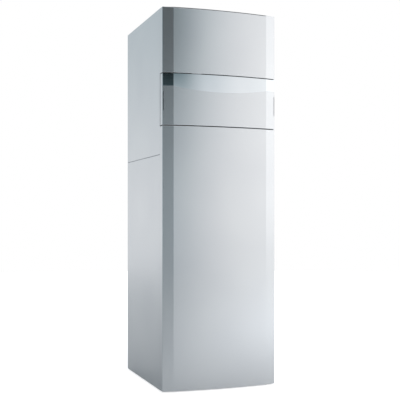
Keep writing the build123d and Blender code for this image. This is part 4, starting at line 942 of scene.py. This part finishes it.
def screen():
    """The display: its lit marks, its lens and the raised border round it."""
    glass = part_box("display_panel")
    high_z = glass[1].z - SCREEN_MARGIN
    low_z = high_z - WINDOW_HEIGHT
    screen_marks((0, glass[0].y, (low_z + high_z) / 2))
    lens_front = fascia_front + LENS_SINK
    block_piece("screen_lens", (LENS_GAP - WINDOW_HALF, lens_front, low_z + LENS_GAP),
                (WINDOW_HALF - LENS_GAP, lens_front + LENS_WALL, high_z - LENS_GAP), LENS_WALL / 4,
                "display_glass", "lens_glass")
    form = bmesh.new()
    rings = []
    for border, lift in ((SCREEN_BORDER, 0), (SCREEN_BORDER - BORDER_RISE, BORDER_RISE),
                         (BORDER_RISE, BORDER_RISE), (0, 0)):
        side = WINDOW_HALF + border
        corners = ((-side, low_z - border), (side, low_z - border), (side, high_z + border),
                   (-side, high_z + border))
        rings.append([form.verts.new((x, fascia_front - lift, z)) for x, z in corners])
    skin_between(form, [*rings, rings[0]], True)
    link("screen_frame", form, "fascia_plastic", "key_plastic")


def key_caps():
    """Dished caps of the four keys, each with its symbol."""
    for node, strokes in KEY_SIGN_SHARES.items():
        body = f"{node.removeprefix('key_')}_key"
        low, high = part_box(node)
        depth = high.y - low.y
        top = centre(node)
        top.y = low.y
        profile = [*scaled(KEY_TOP_SHARES, KEY_RADIUS, KEY_DISH), (KEY_RADIUS, depth - KEY_FLANGE),
                   (KEY_FLANGE_RADIUS, depth - KEY_FLANGE), (KEY_FLANGE_RADIUS, depth), (0, depth)]
        cap = turned(f"{node}_cap", profile, top, BACKWARD, "key_plastic", body=body, steps=48)
        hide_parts(node)
        face = (top.x, top.y + KEY_DISH, top.z)
        sign = shifted(strokes, 0, 0, KEY_RADIUS * 0.42)
        mark(f"{node}_symbol", sign, KEY_RADIUS * 0.16, face, "key_plastic", body=body)


def dial_marks(origin):
    """What is printed on the gauge's dial: ticks, numbers, and a green and a red arc."""
    slot = "gauge_plastic"
    width, height = DIAL_RADIUS * 0.10, DIAL_RADIUS * 0.19
    ticks, long_ticks, numbers = [], [], []
    for index in range(DIAL_TICKS + 1):
        angle = math.radians(DIAL_START + (DIAL_END - DIAL_START) * index / DIAL_TICKS)
        way = Vector((math.cos(angle), math.sin(angle))) * DIAL_RADIUS
        if index % TICKS_PER_NUMBER:
            ticks.append([way * 0.82, way * 0.88])
            continue
        long_ticks.append([way * 0.76, way * 0.88])
        spot = way * 0.60 - Vector((width, height)) / 2
        numbers += shifted(digit(index // TICKS_PER_NUMBER, width, height), spot.x, spot.y)
    mark("dial_ticks", ticks, DIAL_RADIUS * 0.018, origin, slot)
    mark("dial_long_ticks", long_ticks, DIAL_RADIUS * 0.035, origin, slot)
    mark("dial_numbers", numbers, DIAL_RADIUS * 0.03, origin, slot)
    for name, material, arc in (("dial_green", "mark_green", GREEN_ARC), ("dial_red", "mark_red", RED_ARC)):
        mark(name, [ring_points(DIAL_RADIUS * 0.94, 24, *arc)], DIAL_RADIUS * 0.05, origin, slot, material)


def gauge():
    """Dial marks, lens and needle hub of the pressure gauge."""
    needle_low, needle_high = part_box("gauge_needle")
    middle = centre("gauge_body")
    dial_marks((middle.x, needle_high.y + NEEDLE_LIFT, middle.z))
    lens = [(0, 0), (DIAL_RADIUS - LENS_GAP, 0), (DIAL_RADIUS - LENS_GAP, LENS_WALL), (0, LENS_WALL)]
    lens_at = (middle.x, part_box("gauge_body")[0].y + LENS_SINK, middle.z)
    turned("gauge_lens", lens, lens_at, BACKWARD, "gauge_plastic", "lens_glass", steps=64)
    hub = scaled(HUB_SHARES, HUB_RADIUS, HUB_RISE)
    hub_at = (middle.x, needle_low.y, middle.z)
    turned("needle_hub", hub, hub_at, FORWARD, "needle_paint", body="needle", steps=32)


def rocker_marks():
    """The line and the ring that are moulded on the two halves of the rocker."""
    tilt = math.radians(ROCKER_TILT)
    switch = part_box("power_switch")
    x = (switch[0].x + switch[1].x) / 2
    pivot_y = fascia_front + ROCKER_DISH
    pivot_z = switch[0].z + ROCKER_HALF * math.cos(tilt) + (ROCKER_DISH + ROCKER_PROUD) * math.sin(tilt)

    def tipped(y, z):
        return Vector((x, pivot_y + y * math.cos(tilt) - z * math.sin(tilt),
                       pivot_z + z * math.cos(tilt) + y * math.sin(tilt)))

    ends = (tipped(-ROCKER_DISH - ROCKER_PROUD, -ROCKER_HALF), tipped(-ROCKER_DISH, 0),
            tipped(-ROCKER_DISH - ROCKER_PROUD, ROCKER_HALF))
    ring = ring_points(ROCKER_MARK, 24)
    for name, low, high, points in (("rocker_ring", ends[0], ends[1], [*ring, ring[0]]),
                                    ("rocker_line", ends[1], ends[2], [(0, -ROCKER_MARK), (0, ROCKER_MARK)])):
        mark(name, [points], ROCKER_MARK / 3, (low + high) / 2, "switch_plastic", "mark_white",
             "rocker", (high - low).normalized())


def screws(name, places, out, radius, slot="screw_steel"):
    """A set of domed screw heads with raised rims that face one way."""
    form = bmesh.new()
    for spot in places:
        turned_into(form, scaled(SCREW_SHARES, radius, radius * SCREW_RISE_SHARE), spot, out, 24)
    link(name, form, slot, "screw_steel")


def fascia_screws():
    """The four screws at the corners of the fascia."""
    reach = fascia_high.x - PANEL_SCREW_INSET
    levels = (fascia_low.z + PANEL_SCREW_INSET, fascia_high.z - PANEL_SCREW_INSET)
    spots = [(side * reach, fascia_front, level) for side in (-1, 1) for level in levels]
    screws("fascia_screws", spots, FORWARD, PANEL_SCREW)


def flap_fittings():
    """Inside the flap: a boss round each hinge pin, and the two pads that meet the magnets."""
    form = bmesh.new()
    spot = (half_width - FLAP_HINGE_INSET, corner_y + FLAP_HINGE_INSET, 0)
    for low, high in ((flap_low + FLAP_WALL, flap_low + FLAP_BOSS_HEIGHT),
                      (flap_high - FLAP_BOSS_HEIGHT, flap_high - FLAP_WALL)):
        turned_into(form, [(FLAP_BOSS_BORE, low), (FLAP_BOSS_RADIUS, low), (FLAP_BOSS_RADIUS, high),
                           (FLAP_BOSS_BORE, high), (FLAP_BOSS_BORE, low)], spot, UP)
    for rise in MAGNET_RISES:
        block_into(form, (-half_width + FLAP_WALL, return_y - MAGNET_PAD, flap_low + rise - MAGNET_HALF),
                   (-MAGNET_INNER, return_y, flap_low + rise + MAGNET_HALF), MAGNET_PAD / 8)
    link("flap_fittings", form, "flap_paint", body="flap")


# Inside the casing and on its top
def union_nuts():
    """Hexagon union nuts at both ports of the pumps and of the diverter valve."""
    form = bmesh.new()
    nut = scaled(NUT_SHARES, UNION_RADIUS, UNION_HEIGHT)
    port_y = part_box("heating_pump")[1].y - PUMP_HALF
    for node in ("heating_pump", "charge_pump", "diverter_valve"):
        low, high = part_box(node)
        x = DIVERTER_X if node == "diverter_valve" else (low.x + high.x) / 2
        turned_into(form, nut, (x, port_y, low.z + UNION_GAP), UP, 6)
        turned_into(form, nut, (x, port_y, high.z - UNION_GAP), DOWN, 6)
    link("union_nuts", form, "brass")


def pump_fittings():
    """End cap with its vent screw, and terminal box, on each pump motor."""
    caps, boxes = bmesh.new(), bmesh.new()
    for node in ("heating_pump", "charge_pump"):
        face = centre(node)
        face.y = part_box(node)[0].y
        turned_into(caps, scaled(PUMP_CAP_SHARES, MOTOR_RADIUS, MOTOR_RADIUS), face, FORWARD)
        block_into(boxes, *corners_at(face, TERMINAL_SHARES, MOTOR_RADIUS), MOTOR_RADIUS * 0.05)
    link("pump_caps", caps, "valve_metal")
    link("pump_terminals", boxes, "motor_black")


def hoops(name, origin, axis, radius, places, rise, width, slot):
    """Raised hoops round a drum, at distances along its axis."""
    form = bmesh.new()
    for along in places:
        profile = [(radius + out * rise, along + share * width) for out, share in HOOP_SHARES]
        turned_into(form, profile, origin, axis, 96)
    link(name, form, slot)


def exchanger_hoops():
    """Cast hoops round the heat exchanger."""
    low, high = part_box("heat_exchanger")
    pitch = (high.y - low.y) / (EXCHANGER_HOOPS + 0.6)
    places = [pitch * (index + 0.4) for index in range(EXCHANGER_HOOPS)]
    hoops("exchanger_hoops", (0, low.y, centre("burner_door").z), BACKWARD, (high.x - low.x) / 2, places,
          HOOP_RISE, HOOP_WIDTH, "exchanger_metal")


def motor_fins():
    """Cooling fins round the fan motor."""
    low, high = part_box("fan_motor")
    middle = centre("fan_motor")
    pitch = MOTOR_RADIUS / FAN_MOTOR_HOOPS
    places = [pitch * (index + 0.3) for index in range(FAN_MOTOR_HOOPS)]
    hoops("motor_fins", (low.x, middle.y, middle.z), ACROSS, (high.y - low.y) / 2, places,
          HOOP_RISE, HOOP_WIDTH / 2, "motor_black")


def burner_fittings():
    """Ignition electrode and sight glass on the burner door."""
    low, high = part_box("burner_door")
    middle = centre("burner_door")
    reach = (high.z - low.z) / 2 * 0.62
    for name, side, shares, material, steps in (
        ("electrode", -1, ELECTRODE_SHARES, "gauge_plastic", 24),
        ("sight_ring", 1, SIGHT_RING_SHARES, "brass", 32),
        ("sight_glass", 1, SIGHT_GLASS_SHARES, "lens_glass", 32),
    ):
        spot = (middle.x + side * reach * 0.8, low.y + SCREW_RISE, middle.z + reach * 0.7)
        profile = scaled(shares, ELECTRODE_RADIUS, ELECTRODE_RADIUS)
        turned(name, profile, spot, FORWARD, "door_metal", material, steps=steps)


def gas_valve_fittings():
    """Plug block and two test points on the front of the gas valve."""
    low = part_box("gas_valve")[0]
    width = GAS_VALVE_WIDTH
    plug = corners_at(low, PLUG_SHARES, width)
    block_piece("gas_valve_plug", *plug, width * 0.02, "valve_metal", "motor_black")
    form = bmesh.new()
    for share in (0.25, 0.6):
        spot = (low.x + width * share, low.y, low.z + width * 0.25)
        turned_into(form, scaled(TEST_POINT_SHARES, width, width), spot, FORWARD, 20)
    link("gas_test_points", form, "valve_metal", "brass")


def jacket_straps():
    """Two straps round the insulation jacket and the closing strip down its left."""
    low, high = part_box("cylinder_jacket")
    middle = centre("cylinder_jacket")
    places = [low.z + (high.z - low.z) * share for share in (0.3, 0.75)]
    hoops("jacket_straps", (middle.x, middle.y, 0), UP, (high.x - low.x) / 2, places, STRAP_RISE, STRAP_WIDTH,
          "grommet_rubber")
    block_piece("jacket_strip", (low.x - STRAP_RISE, middle.y - STRAP_WIDTH / 2, low.z + STRAP_WIDTH),
                (low.x + STRAP_RISE, middle.y + STRAP_WIDTH / 2, high.z - STRAP_WIDTH), STRAP_RISE / 2,
                "jacket_foam", "trap_plastic")


def vessel_fittings():
    """Crimped seam and bare plate of the expansion vessel."""
    low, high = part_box("expansion_vessel")
    radius = (high.x - low.x) / 2
    z = high.z - radius
    hoops("vessel_seam", (0, 0, z), BACKWARD, radius, [(low.y + high.y) / 2], SEAM_RISE, SEAM_RISE * 3,
          "vessel_paint")
    block_piece("vessel_plate", (-radius * 0.25, low.y - SHEET / 2, z - radius * 0.15),
                (radius * 0.25, low.y, z + radius * 0.15), SHEET / 8, "vessel_paint", "gauge_plastic")


def connector_threads():
    """Threads on the five pipe ends that leave through the top."""
    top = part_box("heating_pipes")[1].z
    for node, slot, sides in (
        ("heating_pipes", "pipe_steel", (-1, -1)),
        ("water_pipes", "pipe_copper", (1, 1)),
        ("gas_pipe", "gas_steel", (-1,)),
    ):
        form = bmesh.new()
        for index, side in enumerate(sides):
            x = side * (CONNECTION_INNER + CONNECTION_PITCH * (0 if node == "gas_pipe" else index + 1))
            profile = [(CONNECTOR_RADIUS - THREAD_RISE, top - THREAD_LENGTH)]
            for turn in range(THREAD_COUNT):
                level = top - THREAD_LENGTH * (1 - turn / THREAD_COUNT)
                step = THREAD_LENGTH / THREAD_COUNT
                profile += [(CONNECTOR_RADIUS, level), (CONNECTOR_RADIUS + THREAD_RISE, level + step / 2)]
            profile += [(CONNECTOR_RADIUS, top), (CONNECTOR_RADIUS - THREAD_RISE, top), profile[0]]
            turned_into(form, profile, (x, CONNECTION_Y, 0), UP, 48)
        link(f"{node}_threads", form, slot)


def flue_seal():
    """Lip seal in the flue socket."""
    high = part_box("flue_pipe")[1]
    top = high.z - SEAL_SINK
    profile = [(FLUE_BORE - SEAL_WIDTH * inward, top - SEAL_WIDTH * down) for inward, down in SEAL_SHARES]
    turned("flue_seal", profile, (0, high.y - FLUE_RADIUS, 0), UP, "flue_plastic", "grommet_rubber", steps=64)


def collar_screws():
    """Four screws through the flange of the air collar."""
    low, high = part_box("air_collar")
    axis_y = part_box("flue_pipe")[1].y - FLUE_RADIUS
    radius = (high.x - low.x) / 2 - PANEL_SCREW * 1.6
    spots = [(x, axis_y + y, low.z + COLLAR_FLANGE) for x, y in ring_points(radius, 4, 45, 405)]
    screws("collar_screws", spots, UP, PANEL_SCREW * 0.8, "collar_metal")


def seam_lips():
    """The folded lip inside each side, which the upper panel stands before at the seam."""
    for side, name in ((-1, "left"), (1, "right")):
        low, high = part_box(f"{name}_side_panel_lower")
        upper_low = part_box(f"{name}_side_panel_upper")[0]
        inner, outer = sorted(side * (half_width - SHEET * share) for share in (1, 2))
        block_piece(f"{name}_seam_lip", (inner, low.y + SHEET, high.z - LIP_REACH),
                    (outer, high.y, upper_low.z + LIP_REACH), 0, "inner_sheet")


# Studio
def make_floor():
    """A pale floor that keeps the shadow and shows white to the camera; to metal and glass it glows with
    painted light, brighter towards the right and the back.
    """
    form = bmesh.new()
    bmesh.ops.create_circle(form, cap_ends=True, segments=FLOOR_SEGMENTS, radius=FLOOR_REACH)
    floor = plain_object("floor", form)
    tree, shader = new_material("floor")
    rays = new_node(tree, "LightPath").outputs
    spot = new_node(tree, "SeparateXYZ", {"Vector": place(tree)}).outputs
    # painted light: the glow that metal and glass see rises from left to right and towards the back
    mirrored = math_node(tree, "MAXIMUM", rays["Is Glossy Ray"], rays["Is Transmission Ray"])
    across = spread(tree, spot["X"], 0, MIRROR_SHARE, DIM_LEFT, DIM_RIGHT)
    back = spread(tree, spot["Y"], 0, BACK_SHARE, BACK_START, FLOOR_REACH)
    mirrored = math_node(tree, "MULTIPLY", mirrored, math_node(tree, "MAXIMUM", across, back))
    seen = math_node(tree, "MAXIMUM", rays["Is Camera Ray"], mirrored)
    fill(tree, shader, {
        "Base Color": (*colour(*FLOOR_TONE), 1),
        "Roughness": FLOOR_ROUGHNESS,
        "Specular IOR Level": FLOOR_SHINE,
        "Emission Color": WHITE,
        "Emission Strength": math_node(tree, "MULTIPLY", seen, CAMERA_GLOW),
    })
    floor.data.materials.append(materials["floor"])


def cooled(share, dark):
    """A share of white that turns bluer as it gets darker."""
    dark = max(0.0, dark)
    return share * (1 - COOL_RED * dark**COOL_POWER), share * (1 - COOL_GREEN * dark), share


def studio_ramp(tree, turn, table, top):
    """A colour ramp round the horizon, cooler where it is darker."""
    ramp = new_node(tree, "ValToRGB", {"Fac": turn})
    ramp.color_ramp.interpolation = "EASE"
    stops = ramp.color_ramp.elements
    for index, (degrees, level) in enumerate(table):
        position = (degrees + 180) / 360
        stop = stops[index] if index < 2 else stops.new(position)
        stop.position = position
        stop.color = (*cooled(level / top, 1 - level), 1)
    return ramp.outputs["Color"]


def make_dome():
    """Studio walls that only the object sees: dark at the front left, bright right, paler overhead."""
    form = bmesh.new()
    bmesh.ops.create_uvsphere(form, u_segments=DOME_SEGMENTS, v_segments=DOME_RINGS, radius=DOME_RADIUS)
    dome = plain_object("dome", form)
    dome.visible_camera = False
    tree, shader = new_material("dome")
    spot = new_node(tree, "SeparateXYZ", {"Vector": place(tree)}).outputs
    angle = math_node(tree, "ARCTAN2", spot["X"], math_node(tree, "MULTIPLY", spot["Y"], -1))
    turn = spread(tree, angle, 0, 1, -math.pi, math.pi)
    rise = math_node(tree, "DIVIDE", spot["Z"], DOME_RADIUS)
    top = max(level for table in (STUDIO_LEVEL, STUDIO_HIGH) for _, level in table)
    level = studio_ramp(tree, turn, STUDIO_LEVEL, top)
    high = studio_ramp(tree, turn, STUDIO_HIGH, top)
    walls = mix_colours(tree, spread(tree, rise, 0, 1, HIGH_START, HIGH_END), level, high)
    overhead = spread(tree, rise, 0, 1, ZENITH_START, ZENITH_END)
    fill(tree, shader, {
        "Base Color": (0, 0, 0, 1),
        "Specular IOR Level": 0,
        "Emission Color": mix_colours(tree, overhead, walls, cooled(ZENITH / top, 1 - ZENITH)),
        "Emission Strength": top,
    })
    materials["dome"].cycles.emission_sampling = "NONE"
    dome.data.materials.append(materials["dome"])


def make_world():
    """A white backdrop, which metal and glass show too."""
    world = bpy.data.worlds.new("backdrop")
    bpy.context.scene.world = world
    world.use_nodes = True
    tree = world.node_tree
    tree.nodes.clear()
    rays = new_node(tree, "LightPath").outputs
    seen = math_node(tree, "MAXIMUM", rays["Is Camera Ray"], rays["Is Glossy Ray"])
    seen = math_node(tree, "MAXIMUM", seen, rays["Is Transmission Ray"])
    white = new_node(tree, "Background", {"Color": WHITE, "Strength": seen})
    new_node(tree, "OutputWorld", {"Surface": white.outputs["Background"]})


def area_light(name, place_at, target, size, power, mirrored=True):
    """A soft rectangular lamp turned towards a point, which shines on metal only if mirrored."""
    data = bpy.data.lights.new(name, "AREA")
    data.shape = "RECTANGLE"
    data.size, data.size_y = size
    data.energy = power
    lamp = bpy.data.objects.new(name, data)
    bpy.context.scene.collection.objects.link(lamp)
    lamp.location = place_at
    lamp.rotation_euler = (Vector(target) - Vector(place_at)).to_track_quat("-Z", "Y").to_euler()
    lamp.visible_glossy = mirrored


def dress_solids():
    """Each CAD piece takes the finishes of its slots."""
    for node in frame["nodes"].values():
        for material_slot in node.material_slots:
            material_slot.material = materials[material_slot.material.name.split(".")[0]]


dress_solids()
front_panel("upper_front_skin", "upper_front_panel", "upper_front", CROWN_DROP)
front_panel("lower_front_skin", "lower_front_panel", "lower_front", 0)
flap_shell()
trim_band()
screen()
key_caps()
gauge()
rocker_marks()
fascia_screws()
flap_fittings()
union_nuts()
pump_fittings()
burner_fittings()
gas_valve_fittings()
jacket_straps()
vessel_fittings()
connector_threads()
flue_seal()
collar_screws()
seam_lips()
exchanger_hoops()
motor_fins()

bpy.context.scene.view_settings.view_transform = "Standard"
make_camera()
make_floor()
make_world()
make_dome()
for lamp_name, settings in LAMPS.items():
    area_light(lamp_name, *settings)
